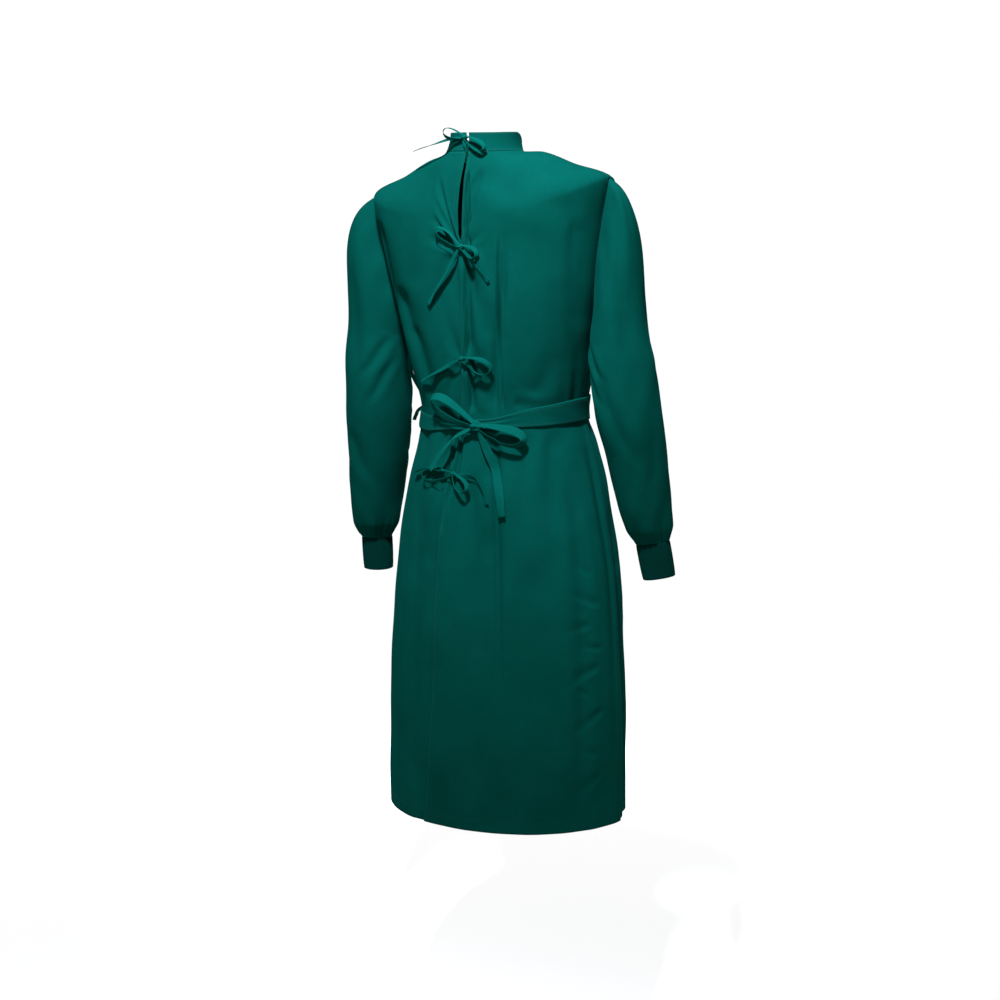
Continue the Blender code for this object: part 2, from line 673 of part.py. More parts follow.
def tie_object(name, tie, look, parts, tools, flat):
    """A knot with its loops and tails joined on by Boolean unions."""
    knot, size, rest = tie["knot"], tie["size"], tie["rest"]
    place = flat(np.array([knot[0]]), np.array([knot[1]]), np.array([rest]))[0]
    ahead = flat(np.array([knot[0]]), np.array([knot[1]]), np.array([rest + 0.004]))[0] - place
    bpy.ops.mesh.primitive_uv_sphere_add(segments=10, ring_count=6, radius=0.5)
    made = bpy.context.object
    made.name = name
    made.scale = (size[0], size[2], size[1])
    tilt = math.asin(ahead[2] / np.linalg.norm(ahead))
    made.rotation_euler = (tilt, 0.0, math.atan2(-ahead[0], ahead[1]))
    made.location = place.tolist()
    bpy.context.view_layer.update()
    made.data.transform(made.matrix_world)
    made.matrix_world.identity()
    made.data.materials.append(look)
    made.data.shade_smooth()
    for used in list(made.users_collection):
        used.objects.unlink(made)
    parts.objects.link(made)
    tapes = [tape_points(loop_curve(row), row[0], LOOP_STAND, knot, flat) for row in tie["loops"]]
    for width, anchors in tie["tails"]:
        path = along_curve(anchors, TAIL_STEPS)
        tapes.append(tape_points(path, width, TAIL_STAND, knot, flat))
    for i, points in enumerate(tapes):
        tape = tape_object(f"{name}_tape_{i}", points, look, tools)
        tape.hide_render = True
        tape.display_type = "WIRE"
        join = made.modifiers.new(f"tape_{i}", "BOOLEAN")
        join.operation = "UNION"
        join.solver = "EXACT"
        join.object = tape
    return made


def main():
    for item in list(bpy.data.objects):
        bpy.data.objects.remove(item, do_unlink=True)
    parts = bpy.data.collections.new("surgical_gown")
    tools = bpy.data.collections.new("tape_tools")
    bpy.context.scene.collection.children.link(parts)
    bpy.context.scene.collection.children.link(tools)
    cotton = material("green_cotton", GREEN, 0.7)
    knit = material("rib_knit", DARK_GREEN, 0.85)
    right, left = table(ARM_COLUMNS, RIGHT_ARM), table(ARM_COLUMNS, LEFT_ARM)
    surface_object("front", front(), False, cotton, parts, WALL)
    surface_object("back_right", back_right(), False, cotton, parts, WALL)
    surface_object("back_left", back_left(), False, cotton, parts, WALL)
    surface_object("collar", collar(), False, cotton, parts, WALL)
    right_sleeve = sleeve(right, RIGHT_SLEEVE_FOLDS, RIGHT_FULLNESS, RIGHT_DROP)
    left_sleeve = sleeve(left, LEFT_SLEEVE_FOLDS, LEFT_FULLNESS, LEFT_DROP)
    surface_object("sleeve_right", right_sleeve, True, cotton, parts, WALL)
    surface_object("sleeve_left", left_sleeve, True, cotton, parts, WALL)
    tube_object("cuff_right", cuff(right), knit, parts)
    tube_object("cuff_left", cuff(left), knit, parts)
    surface_object("belt", belt(), True, cotton, parts, BELT_WALL)
    for name, tie in TIES.items():
        tie_object(name, tie, cotton, parts, tools, on_neck if name == "tie_neck" else on_back)
    tie_object("tie_side", SIDE_TIE, cotton, parts, tools, on_left_side)


main()
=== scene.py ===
"""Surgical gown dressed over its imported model: fine cloth with creases, hems and sewing, rib cuffs
and tape ties. Metres, +Z up, the front faces -Y, the wearer's right is -X. The tables are in
millimetres and degrees. A line is a distance from the neck down along the body."""

import math

import bmesh
import bpy
import numpy as np
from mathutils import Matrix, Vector


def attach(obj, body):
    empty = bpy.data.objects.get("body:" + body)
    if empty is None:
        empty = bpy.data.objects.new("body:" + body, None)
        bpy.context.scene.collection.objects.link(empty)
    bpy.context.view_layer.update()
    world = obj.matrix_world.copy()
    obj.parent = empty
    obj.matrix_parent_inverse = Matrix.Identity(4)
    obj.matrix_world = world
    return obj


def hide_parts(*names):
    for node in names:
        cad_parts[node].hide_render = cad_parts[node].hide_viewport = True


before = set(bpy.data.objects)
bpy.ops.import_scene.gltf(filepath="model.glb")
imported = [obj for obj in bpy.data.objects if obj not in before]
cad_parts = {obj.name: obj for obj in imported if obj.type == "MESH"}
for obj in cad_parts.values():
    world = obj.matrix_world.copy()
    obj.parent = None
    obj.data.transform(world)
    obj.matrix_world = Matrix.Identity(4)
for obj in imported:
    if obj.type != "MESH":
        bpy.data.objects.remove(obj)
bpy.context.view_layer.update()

# Thicknesses and gaps.
WALL, BELT_WALL, CUFF_WALL, TAPE = 0.0011, 0.0018, 0.0022, 0.0010
SEAM = 0.0005  # half the gap between two panels
TUCK = 0.0040  # how far the left back lies under the lap
BELT_OUT = 0.0034
PROUD = 0.0001  # how far stitches lie off the cloth
# The rise of the shoulders and of the hem per metre towards the wearer's left.
TILT, HEM_TILT = -0.060, -0.045
CUFF_LENGTH = 0.062
CUFF_RIBS, RIB_RISE = 66.0, 0.0006
CUFF_STEPS = 22  # rings of points down the outside of a cuff
SLACK, BELT_SLACK = 0.0012, 0.0005  # the unevenness over all of the cloth and of the belt
WORN_REACH = 0.0025  # how far from a cut edge the cloth is worn
TAPE_DIP = 0.25  # the share of the creases that the tapes over them follow
# Places down from the neck, and how far the armholes reach round from the side, in degrees.
TIP_LINE, ARMPIT_LINE, BELT_LINE = 0.12, 0.29, 0.445
COLLAR_LINE, HEM_LINE = -0.036, 1.175
ARMHOLE_BACK, ARMHOLE_FRONT = 7.0, 27.0
# The way a sleeve leaves its armhole.
HEAD_OUT, HEAD_SPREAD = 0.86, 0.42
RIGHT_DROP, LEFT_DROP = 0.44, 0.24
RIGHT_FULLNESS, LEFT_FULLNESS = 0.80, 1.15
RIGHT_SPREAD, LEFT_SPREAD = 0.34, 1.30
# Along the ring of the body: where the backs' columns turn from fine to coarse, in degrees.
RIGHT_FINE, LEFT_FINE = 36.0, -34.0
STITCH = {"Pitch": 0.0034, "Stitch length": 0.0025, "Thread": 0.00045}
WEAR = 0.12  # how much paler the worn edges are

# Body sections from above the collar down to the hem, as in the part's source.
SECTION_COLUMNS = (
    "line", "z_back", "z_side", "z_front", "half_width", "y_side", "back_y", "front_y", "squareness",
)
SECTIONS = (
    (-90, 100, 100, 50, 63, 1, 60, -58, 2),
    (-36, 42, 42, 0, 62.5, 1, 60, -58, 2),
    (0, 10, 10, -36, 71.5, 0, 66, -64, 2),
    (30, -18, 3, -62, 112, -3, 73, -84, 2),
    (70, -55, -19, -96, 167, -8, 80, -106, 2.1),
    (120, -100, -49, -135, 237, -14, 85, -126, 2.3),
    (180, -158, -130, -180, 223, -26, 86, -142, 2.3),
    (240, -222, -208, -232, 208, -35, 84, -152, 2.3),
    (290, -278, -276, -280, 194, -42, 81, -158, 2.2),
    (360, -355, -355, -355, 177, -50, 75, -160, 2.1),
    (445, -445, -445, -445, 160, -60, 68, -164, 2),
    (500, -500, -500, -500, 172, -69, 73, -180, 2),
    (570, -570, -570, -570, 191, -75, 86, -192, 2),
    (680, -680, -680, -680, 214, -74, 97, -196, 2),
    (800, -800, -800, -800, 227, -73, 102, -198, 2),
    (1000, -1000, -1000, -1000, 237.5, -72, 105, -199, 2),
    (1175, -1180, -1180, -1180, 240, -71, 105, -200, 2),
)

# Where each back's free edge lies, as distance from the middle towards the wearer's left.
EDGE_COLUMNS = ("line", "right_edge", "left_edge")
EDGES = (
    (-36, -4, 1),
    (0, -7, -2.5),
    (80, -6.5, 2),
    (145, -8.5, 2.5),
    (178, -2, -10),
    (250, 0, -30),
    (360, 2, -35),
    (445, 12, -35),
    (500, 27, -35),
    (570, 31, -35),
    (740, 42, -38),
    (840, 45, -42),
    (1175, 74, -50),
)

# The largest folds, which the solids have too: degrees from the middle of the back.
FOLD_COLUMNS = ("angle_top", "line_top", "angle_bottom", "line_bottom", "half_width", "rise")
FOLDS = (
    (20, 165, 22, 960, 8.5, -8.5),
    (26, 190, 28, 900, 12, 1.6),
    (66, 520, 60, 1230, 20, -5.5),
    (-42, 560, -50, 1230, 22, -5),
    (128, 500, 132, 1230, 23, -7),
    (158, 480, 160, 1230, 22, -6),
    (-160, 520, -158, 1230, 24, -7),
    (-128, 500, -131, 1230, 22, -6),
    (140, 230, 150, 430, 15, -5),
    (-140, 230, -152, 430, 15, -5),
)

# Creases of the back: where each starts and ends, across (towards the wearer's
# left) and up, from its tight end to where it dies out; its half widths on the two sides of its
# way; how many times wider it ends; its rise; and how much of the rise stays at the far end.
BACK_CREASES = (
    # puckers drawn up from the second tie
    (6, -140, 47, -38, 2.2, 3.2, 1.9, -8.5, 0.2),
    (9, -140, 47, -74, 2.2, 3.2, 1.7, -7.5, 0.15),
    (13, -146, 50, -102, 2.2, 3.6, 1.7, -7, 0.15),
    (14, -154, 64, -134, 3, 4, 2, -4.4, 0.1),
    (-16, -142, -38, -21, 2.4, 4, 2, -8, 0.2),
    (-14, -120, -26, -34, 2, 3, 1.6, -5, 0.2),
    (-18, -150, -52, -118, 3.4, 5, 2, -3.4, 0.05),
    # the folded band along the right back's edge
    (-12, -30, -17.5, -146, 1.8, 4.5, 1, -8.5, 0.9),
    (-11.5, -160, -9.5, -325, 1.6, 12, 1.1, -15, 0.95),
    (-12.5, -345, -10.5, -430, 1.6, 10, 1.1, -13, 0.8),
    # folds that hang from the second and third ties
    (-16, -168, -50, -300, 7, 10, 1.7, -8.5, 0.2),
    (-12, -350, -46, -420, 7, 11, 1.6, -5.3, 0.2),
    (20, -164, 62, -300, 9, 14, 1.8, -5.3, 0.1),
    (14, -352, 46, -430, 6, 10, 1.5, -4.6, 0.2),
    (12, -334, 40, -230, 7, 9, 1.7, -3.5, 0.05),
    (-78, -150, -72, -415, 2.6, 1.8, 1.2, -6, 0.9),
    # slack over the waist
    (150, -235, 90, -395, 12, 24, 1.2, -8.5, 0.4),
    (120, -300, 70, -425, 10, 16, 1, -4.9, 0.4),
    (-120, -400, -155, -330, 10, 14, 1.3, -3.5, 0.1),
    (-90, -418, -140, -428, 6, 10, 1, -2.8, 0.3),
    # gathers under the belt
    (16, -480, 36, -560, 2.8, 5, 1.5, -10, 0.25),
    (6, -480, 20, -600, 2.8, 4.4, 1.5, -9.5, 0.2),
    (26, -476, 66, -556, 4, 6, 1.6, -8, 0.15),
    (46, -478, 80, -600, 7, 10, 1.8, -4.2, 0.1),
    (-50, -480, -44, -580, 6, 9, 1.6, -4.9, 0.1),
    (-108, -475, -122, -640, 8, 12, 1.8, -3.9, 0.05),
    (-140, -470, -166, -700, 9, 12, 2, -7, 0.2),
    (100, -480, 124, -640, 9, 12, 1.8, -4.6, 0.1),
    # the lap's shadow under the fourth tie and down the skirt
    (20, -552, 34, -640, 3.4, 8, 1.5, -9, 0.25),
    (46, -545, 78, -700, 6, 18, 1.6, -7, 0.4),
    (94, -600, 110, -1120, 20, 30, 1.2, -7, 0.8),
    (-20, -560, -52, -860, 30, 16, 1.3, -8.5, 0.3),
    (-60, -640, -66, -900, 14, 20, 1.4, -4.6, 0.2),
    (-140, -700, -150, -1100, 26, 32, 1.2, -5.3, 0.4),
    # upper back
    (-90, -50, -206, -84, 18, 24, 1.2, -3, 0.6),
    (-30, -34, -100, -52, 14, 20, 1.2, -3.9, 0.2),
    (60, -30, 190, -100, 20, 26, 1.2, -1.8, 0.6),
    (-166, -210, -170, -380, 18, 26, 1.4, -1.6, 0.9),
    (-200, -110, -184, -275, 6, 12, 1.4, -3, 0.6),
    (204, -120, 170, -265, 8, 16, 1.4, -6.3, 0.3),
)
# Creases all round: the same, but placed by angle in degrees and by distance down from the neck.
SIDE_CREASES = (
    # puckers along the right side seam
    (70, 712, 60, 690, 3.5, 7, 1.4, -2, 0),
    (73, 768, 57, 742, 3, 8, 1.6, -3, 0),
    (68, 802, 53, 812, 4, 7, 1.5, -2.4, 0),
    (74, 846, 62, 838, 3, 6, 1.4, -3.4, 0),
    (72, 880, 51, 912, 3.5, 9, 1.8, -3.6, 0),
    (66, 930, 58, 916, 3, 6, 1.3, -2.6, 0),
    (74, 962, 56, 1004, 3.5, 8, 1.6, -3.4, 0),
    (70, 1040, 60, 1030, 4, 7, 1.4, -2.2, 0),
    (73, 1080, 54, 1120, 4, 9, 1.6, -2.4, 0),
    (86, 520, 84, 1060, 5, 10, 1.3, -5.8, 0.2),
    (98, 720, 112, 690, 4, 8, 1.4, -4.3, 0),
    (98, 800, 114, 782, 4, 8, 1.4, -4.6, 0),
    (98, 880, 113, 884, 4, 8, 1.4, -4.3, 0),
    (98, 960, 115, 990, 4, 8, 1.4, -4.1, 0),
    # the left side seam is like the right one
    (-83, 730, -66, 700, 4, 7, 1.4, -4.1, 0),
    (-83, 800, -64, 786, 4, 8, 1.4, -4.9, 0),
    (-83, 872, -66, 880, 4, 7, 1.4, -4.3, 0),
    (-83, 940, -63, 972, 4, 8, 1.4, -4.6, 0),
    (-97, 760, -112, 736, 4, 8, 1.4, -4.3, 0),
    (-97, 850, -114, 846, 4, 8, 1.4, -4.6, 0),
    (-97, 930, -112, 956, 4, 8, 1.4, -4.1, 0),
    # gathers above and below the belt, all round
    (104, 462, 108, 620, 7, 11, 1.8, -4.9, 0.05),
    (118, 462, 120, 560, 6, 9, 1.6, -3.8, 0),
    (144, 462, 148, 640, 8, 12, 1.8, -4.9, 0.05),
    (170, 462, 172, 570, 6, 9, 1.6, -3.5, 0),
    (-176, 462, -180, 650, 8, 12, 1.8, -4.3, 0.05),
    (-144, 462, -146, 600, 7, 10, 1.8, -4.6, 0.05),
    (-118, 462, -114, 560, 6, 9, 1.6, -3.8, 0),
    (-104, 462, -106, 640, 7, 11, 1.8, -4.9, 0.05),
    (112, 428, 118, 330, 7, 10, 1.6, -4.1, 0),
    (134, 428, 130, 350, 6, 9, 1.6, -3.2, 0),
    (162, 428, 168, 320, 7, 11, 1.6, -4.1, 0),
    (-170, 428, -166, 340, 6, 10, 1.6, -3.8, 0),
    (-136, 428, -128, 330, 7, 11, 1.6, -4.1, 0),
    (-110, 428, -114, 350, 6, 9, 1.6, -3.2, 0),
    (80, 428, 76, 320, 8, 11, 1.6, -3.8, 0.05),
    (-72, 428, -80, 320, 8, 11, 1.6, -4.3, 0.05),
    # slack from the armholes over the chest
    (118, 262, 138, 226, 8, 14, 1.4, -5.8, 0.05),
    (116, 230, 130, 170, 7, 12, 1.4, -4.3, 0.05),
    (-118, 262, -136, 222, 8, 14, 1.4, -5.8, 0.05),
    (-116, 226, -131, 166, 7, 12, 1.4, -4.3, 0.05),
    (150, 90, 156, 330, 16, 22, 1.3, -4.9, 0.2),
    (-148, 110, -158, 340, 16, 24, 1.3, -4.9, 0.2),
    (176, 60, -178, 300, 20, 26, 1.3, -3.5, 0.2),
    # hang of the skirt
    (100, 640, 104, 1230, 24, 30, 1.2, -8, 0.8),
    (146, 700, 146, 1230, 22, 28, 1.2, -5.8, 0.9),
    (174, 600, 178, 1230, 26, 32, 1.2, -7.2, 0.9),
    (-142, 680, -144, 1230, 22, 30, 1.2, -6.4, 0.9),
    (-102, 640, -108, 1230, 24, 30, 1.2, -8, 0.8),
)

# Sections of the arms from just under the armpit to the wrist; lean is a section's rise outwards.
ARM_COLUMNS = ("z", "x", "y", "across", "fore", "lean")
RIGHT_ARM = (
    (-305, -247, -40, 50, 59, 0),
    (-345, -250.5, -42, 55, 62, 0),
    (-430, -261, -46, 55, 63, 0),
    (-510, -271.3, -60, 50, 58, 0.04),
    (-590, -278.5, -75, 44, 53, 0.1),
    (-632, -282.7, -85, 39, 46, 0.15),
    (-652, -286, -89, 31.5, 34.5, 0.18),
    (-659, -287.2, -90, 28.5, 30, 0.19),
)
LEFT_ARM = (
    (-315, 262, -36, 56, 62, 0),
    (-360, 265, -36, 58, 65, 0),
    (-450, 272.1, -45, 58.5, 66, 0),
    (-540, 285.4, -60, 55, 62, 0),
    (-631, 302.2, -75, 47, 56, 0),
    (-680, 309, -82, 41, 48, 0),
    (-704, 313, -86, 31, 35, 0),
    (-712, 314, -88, 28, 30, 0),
)
# Folds of the sleeves: degrees round the arm from the outside through the front, and height.
SLEEVE_COLUMNS = ("round_from", "z_from", "round_to", "z_to", "half_width", "rise")
RIGHT_SLEEVE_FOLDS = (
    (300, -160, 330, -420, 16, -4.5),
    (250, -360, 300, -520, 14, -4),
    (120, -300, 60, -500, 16, -5),
    (215, -300, 262, -380, 9, -4),
    (205, -335, 250, -420, 8, -3.4),
    (165, -300, 110, -370, 9, -4),
    (170, -340, 125, -430, 8, -3.4),
    (140, -430, 85, -470, 9, -3.6),
    (130, -465, 80, -520, 8, -3.4),
    (150, -500, 95, -560, 9, -3),
    (350, -440, 320, -570, 11, -2.6),
    (20, -200, 40, -380, 14, -3),
)
LEFT_SLEEVE_FOLDS = (
    (320, -160, 260, -420, 16, -5),
    (300, -480, 250, -600, 14, -4),
    (60, -280, 120, -480, 16, -5),
    (210, -310, 262, -400, 9, -4),
    (200, -350, 252, -450, 8, -3.4),
    (160, -310, 105, -390, 9, -4),
    (165, -350, 120, -440, 8, -3.4),
    (140, -450, 85, -490, 9, -3.6),
    (130, -490, 80, -550, 8, -3.4),
    (150, -530, 95, -600, 9, -3),
    (340, -430, 310, -600, 11, -2.6),
    (20, -200, 40, -380, 14, -3),
)
BELT_COLUMNS = ("angle", "z", "width")
BELT = (
    (-180, -436, 38),
    (-90, -452, 34),
    (-40, -462, 30),
    (-8, -458, 18),
    (16, -452, 18),
    (45, -440, 32),
    (90, -432, 40),
    (180, -436, 38),
)


AS_WRITTEN = (
    "squareness", "lean", "angle", "angle_top", "angle_bottom", "round_from", "round_to", "heading", "stand",
)


def metres(values):
    return np.array(values, float) / 1000.0


def table(columns, rows):
    """The columns of a table, with its lengths in metres."""
    whole = {name: np.array([row[i] for row in rows], float) for i, name in enumerate(columns)}
    return {name: whole[name] if name in AS_WRITTEN else metres(whole[name]) for name in columns}


def each(columns, rows):
    """The rows of a table by the names of its columns, with its lengths in metres."""
    values = table(columns, rows)
    return [{name: values[name][i] for name in columns} for i in range(len(rows))]


def wrapped(angle):
    """The same angle in degrees, between -180 and 180."""
    return (angle + 180.0) % 360.0 - 180.0


def unit(vectors):
    return vectors / np.linalg.norm(vectors, axis=-1, keepdims=True)


def hermite(t, h, a, b, slope_a, slope_b):
    """A cubic from a to b over a way h, with the given slopes at its ends."""
    return (
        (2 * t**3 - 3 * t**2 + 1) * a
        + (t**3 - 2 * t**2 + t) * h * slope_a
        + (3 * t**2 - 2 * t**3) * b
        + (t**3 - t**2) * h * slope_b
    )


def eased(a, b, x):
    t = np.clip((x - a) / (b - a), 0.0, 1.0)
    return t * t * (3.0 - 2.0 * t)


def read(values, key, column, at):
    """A column of a table at any place along its key, smooth and without overshoot."""
    x, y = values[key], values[column]
    if x[0] > x[-1]:
        x, y = x[::-1], y[::-1]
    step = np.diff(y) / np.diff(x)
    both = step[:-1] * step[1:]
    total = np.where(both > 0.0, step[:-1] + step[1:], 1.0)
    slope = np.concatenate([step[:1], np.where(both > 0.0, 2.0 * both / total, 0.0), step[-1:]])
    at = np.clip(np.asarray(at, float), x[0], x[-1])
    i = np.clip(np.searchsorted(x, at) - 1, 0, len(x) - 2)
    h = x[i + 1] - x[i]
    return hermite((at - x[i]) / h, h, y[i], y[i + 1], slope[i], slope[i + 1])


BODY = table(SECTION_COLUMNS, SECTIONS)
EDGE = table(EDGE_COLUMNS, EDGES)


def half_width(line):
    return read(BODY, "line", "half_width", line)


def edge_at(name, line):
    """Where a back's free edge lies: right_edge or left_edge."""
    return read(EDGE, "line", name, line)


def body(angle, line):
    """Point of the smooth body: angle in degrees from the middle of the back to the right."""
    turn = np.radians(angle)
    size = {name: read(BODY, "line", name, line) for name in SECTION_COLUMNS[1:]}
    power = 2.0 / size["squareness"]
    behind = np.cos(turn) > 0.0
    across = np.sign(np.sin(turn)) * np.abs(np.sin(turn)) ** power
    along = np.abs(np.cos(turn)) ** power
    depth = np.where(behind, size["back_y"] - size["y_side"], size["front_y"] - size["y_side"])
    z_end = np.where(behind, size["z_back"], size["z_front"])
    x = -size["half_width"] * across
    y = size["y_side"] + depth * along
    z = size["z_side"] + (z_end - size["z_side"]) * np.abs(np.cos(turn)) ** 1.6
    z = z + TILT * x * eased(-0.50, -0.10, z) * eased(0.03, 0.12, np.abs(x))
    z = z + HEM_TILT * x * eased(-0.80, -1.175, z)
    return np.stack([x, y, z], axis=-1)


def normal_of(surface, u, v, step_u, step_v):
    du = surface(u + step_u, v) - surface(u - step_u, v)
    dv = surface(u, v + step_v) - surface(u, v - step_v)
    n = np.cross(dv, du)
    return n / np.maximum(np.linalg.norm(n, axis=-1, keepdims=True), 1e-12)


def fold_rise(angle, line):
    """How far the largest folds move the body's cloth out at a place."""
    radius = half_width(line)
    rise = np.zeros(angle.shape)
    for fold in each(FOLD_COLUMNS, FOLDS):
        top, low = fold["line_top"], fold["line_bottom"]
        way = np.clip((line - top) / (low - top), 0.0, 1.0)
        middle = fold["angle_top"] + (fold["angle_bottom"] - fold["angle_top"]) * way
        away = np.radians(wrapped(angle - middle)) * radius / fold["half_width"]
        ends = eased(top - 0.02, top + 0.09, line) * (1.0 - eased(low - 0.22, low, line))
        rise = rise + fold["rise"] * ends * np.exp(-away * away)
    return rise * (1.0 - 0.95 * np.exp(-(((line - BELT_LINE) / 0.035) ** 2)))


def trough(away):
    """The section of a crease: a trough between two low ridges."""
    return np.exp(-away * away) - 0.30 * np.exp(-((np.abs(away) - 2.1) ** 2))


def crease(across, up, row):
    """A soft trough that runs between two places on a flat map of the cloth."""
    x_from, z_from, x_to, z_to, wide_1, wide_2 = metres(row[:6])
    spread, rise, hold = row[6], row[7] / 1000.0, row[8]
    long = math.hypot(x_to - x_from, z_to - z_from)
    ahead, aside = (x_to - x_from) / long, (z_to - z_from) / long
    way = ((across - x_from) * ahead + (up - z_from) * aside) / long
    off = (across - x_from) * -aside + (up - z_from) * ahead
    share = np.clip(way, 0.0, 1.0)
    wide = np.where(off > 0.0, wide_1, wide_2) * (1.0 + (spread - 1.0) * share)
    ends = eased(-0.10, 0.10, way) * (1.0 - eased(0.92, 1.12, way))
    depth = rise * (1.0 - (1.0 - hold) * share) * ends
    return depth * trough(off / wide)


def crease_rise(base, angle, line):
    """How far the small creases move the body's cloth out."""
    rise = np.zeros(angle.shape)
    behind = eased(-0.060, -0.010, base[..., 1])
    for row in BACK_CREASES:
        rise = rise + crease(base[..., 0], base[..., 2], row) * behind
    radius = half_width(line)
    for row in SIDE_CREASES:
        middle = 180.0 if row[0] * row[2] < 0.0 else (row[0] + row[2]) / 2.0
        turned = wrapped(angle - middle)
        first, last = (math.radians(wrapped(end - middle)) for end in (row[0], row[2]))
        size = 160.0 + 60.0 * eased(450.0, 800.0, row[1])
        flat = (first * size, -row[1], last * size, -row[3]) + row[4:]
        near = np.abs(turned) < 60.0
        rise = rise + np.where(near, crease(np.radians(turned) * radius, -line, flat), 0.0)
    return rise * (1.0 - 0.92 * np.exp(-(((line - BELT_LINE) / 0.022) ** 2)))


def slack(angle, line):
    """A slight unevenness over all of the cloth, a few tenths of a millimetre."""
    a, b = np.radians(angle), line
    wave = np.sin(3.0 * a + 9.0 * b + 0.4) * np.sin(17.0 * b - 2.0 * a)
    wave = wave + 0.6 * np.sin(7.0 * a - 21.0 * b + 1.1) * np.sin(11.0 * b + 5.0 * a)
    wave = wave + 0.4 * np.sin(13.0 * a + 31.0 * b) * np.sin(26.0 * b - 9.0 * a + 0.7)
    return SLACK * wave


def cloth_point(angle, line, out=0.0, depth=1.0):
    """Point of the creased cloth, moved out by a distance; depth is the share of its creases."""
    angle, line = np.broadcast_arrays(np.asarray(angle, float), np.asarray(line, float))
    base = body(angle, line)
    n = normal_of(body, angle, line, 0.4, 0.002)
    free = eased(0.0, 0.05, line)
    small = crease_rise(base, angle, line) * depth + slack(angle, line)
    return base + n * (fold_rise(angle, line) + small * free + out)[..., None]


def angle_at(x, line):
    """The angle of the back's place that lies x metres towards the wearer's left."""
    ratio = np.clip(-x / half_width(line), -1.0, 1.0)
    power = read(BODY, "line", "squareness", line) / 2.0
    return np.degrees(np.arcsin(np.sign(ratio) * np.abs(ratio) ** power))


def on_back(x, z, out):
    """Point over the back at a given place across and height."""
    line = -z
    for _ in range(12):
        line = line + (cloth_point(angle_at(x, line), line, 0.0, TAPE_DIP)[..., 2] - z)
    return cloth_point(angle_at(x, line), line, out, TAPE_DIP)


def on_neck(x, z, out):
    """Point behind the collar, on a gentler curve than the collar's own."""
    return np.stack([x, 0.0605 + out - 1.5 * x * x, z], axis=-1)


def on_left_side(ahead, z, out):
    """Point over the left side seam at a given place towards the front and height."""
    angle = -90.0 - np.degrees(ahead / half_width(-z))
    return cloth_point(angle, -z, out, TAPE_DIP)


def armhole_share(line):
    share = np.clip((line - TIP_LINE) / (ARMPIT_LINE - TIP_LINE), 0.0, 1.0)
    return np.sin(np.pi * share) ** 0.6


def side_angle(line, front):
    """Where a panel ends: the shoulder seam, the armhole or the side seam."""
    reach = ARMHOLE_FRONT if front else -ARMHOLE_BACK
    return 90.0 + reach * armhole_share(line)


def trimmed(angle, line, way):
    """An edge's angle, moved back from its seam, and further along the ridge of the shoulder."""
    gap = SEAM * (1.9 - 0.9 * eased(0.10, 0.14, line))
    return angle - way * np.degrees(gap / half_width(line))


def between(start, stops, share):
    """Columns that divide the way between two edges by given shares, a row per line."""
    return start[:, None] + (stops - start)[:, None] * share[None, :]


def grid_mesh(name, points, closed, look):
    """A mesh through a grid of points, with a map in metres along and across the cloth."""
    rows, columns = points.shape[:2]
    wrap = columns if closed else columns - 1
    r, c = np.meshgrid(np.arange(rows - 1), np.arange(wrap), indexing="ij")
    d = (c + 1) % columns
    top, low = r * columns, (r + 1) * columns
    quads = np.stack([top + c, low + c, low + d, top + d], axis=-1)
    mesh = bpy.data.meshes.new(name)
    mesh.from_pydata(points.reshape(-1, 3).tolist(), [], quads.reshape(-1, 4).tolist())
    ring = np.concatenate([points, points[:, :1]], axis=1) if closed else points
    across = np.zeros(ring.shape[:2])
    across[:, 1:] = np.cumsum(np.linalg.norm(np.diff(ring, axis=1), axis=-1), axis=1)
    down = np.zeros(ring.shape[:2])
    down[1:] = np.cumsum(np.linalg.norm(np.diff(ring, axis=0), axis=-1), axis=0)
    centre = across - across.mean(axis=1, keepdims=True)
    flat = np.stack([centre, down.mean(axis=1, keepdims=True) + 0.0 * down], axis=-1)
    corners = np.stack([flat[r, c], flat[r + 1, c], flat[r + 1, c + 1], flat[r, c + 1]], axis=2)
    layer = mesh.uv_layers.new(name="cloth")
    layer.data.foreach_set("uv", corners.reshape(-1))
    mesh.materials.append(look)
    mesh.shade_smooth()
    return mesh


def placed(name, mesh):
    made = bpy.data.objects.new(name, mesh)
    bpy.context.scene.collection.objects.link(made)
    return made


def walled(name, points, closed, look, wall):
    """A shell of cloth: its outer face is the grid, and its wall goes inwards."""
    made = placed(name, grid_mesh(name, points, closed, look))
    thick = made.modifiers.new("wall", "SOLIDIFY")
    thick.thickness = wall
    thick.offset = -1.0
    thick.use_even_offset = False
    return made


BODY_LINES = np.concatenate([np.linspace(0.0, 0.60, 190), np.linspace(0.60, HEM_LINE, 131)[1:]])


def back_columns(edge, middle, seam, fine, coarse):
    """Columns of a back, close together from its free edge to a middle angle."""
    middle = np.full(len(edge), middle)
    near = between(edge, middle, np.linspace(0.0, 1.0, fine))
    far = between(middle, seam, np.linspace(0.0, 1.0, coarse))
    return np.concatenate([near, far[:, 1:]], axis=1)


def back_right_points():
    line = BODY_LINES
    edge = trimmed(angle_at(edge_at("right_edge", line), line), line, 0.0)
    seam = trimmed(side_angle(line, False), line, 1.0)
    return cloth_point(back_columns(edge, RIGHT_FINE, seam, 94, 50), line[:, None])


def tuck_at(x, line):
    """How far the left back lies under the right back's lap."""
    lap = edge_at("right_edge", line)
    return -TUCK * eased(0.10, 0.15, line) * (1.0 - eased(lap + 0.006, lap + 0.036, x))


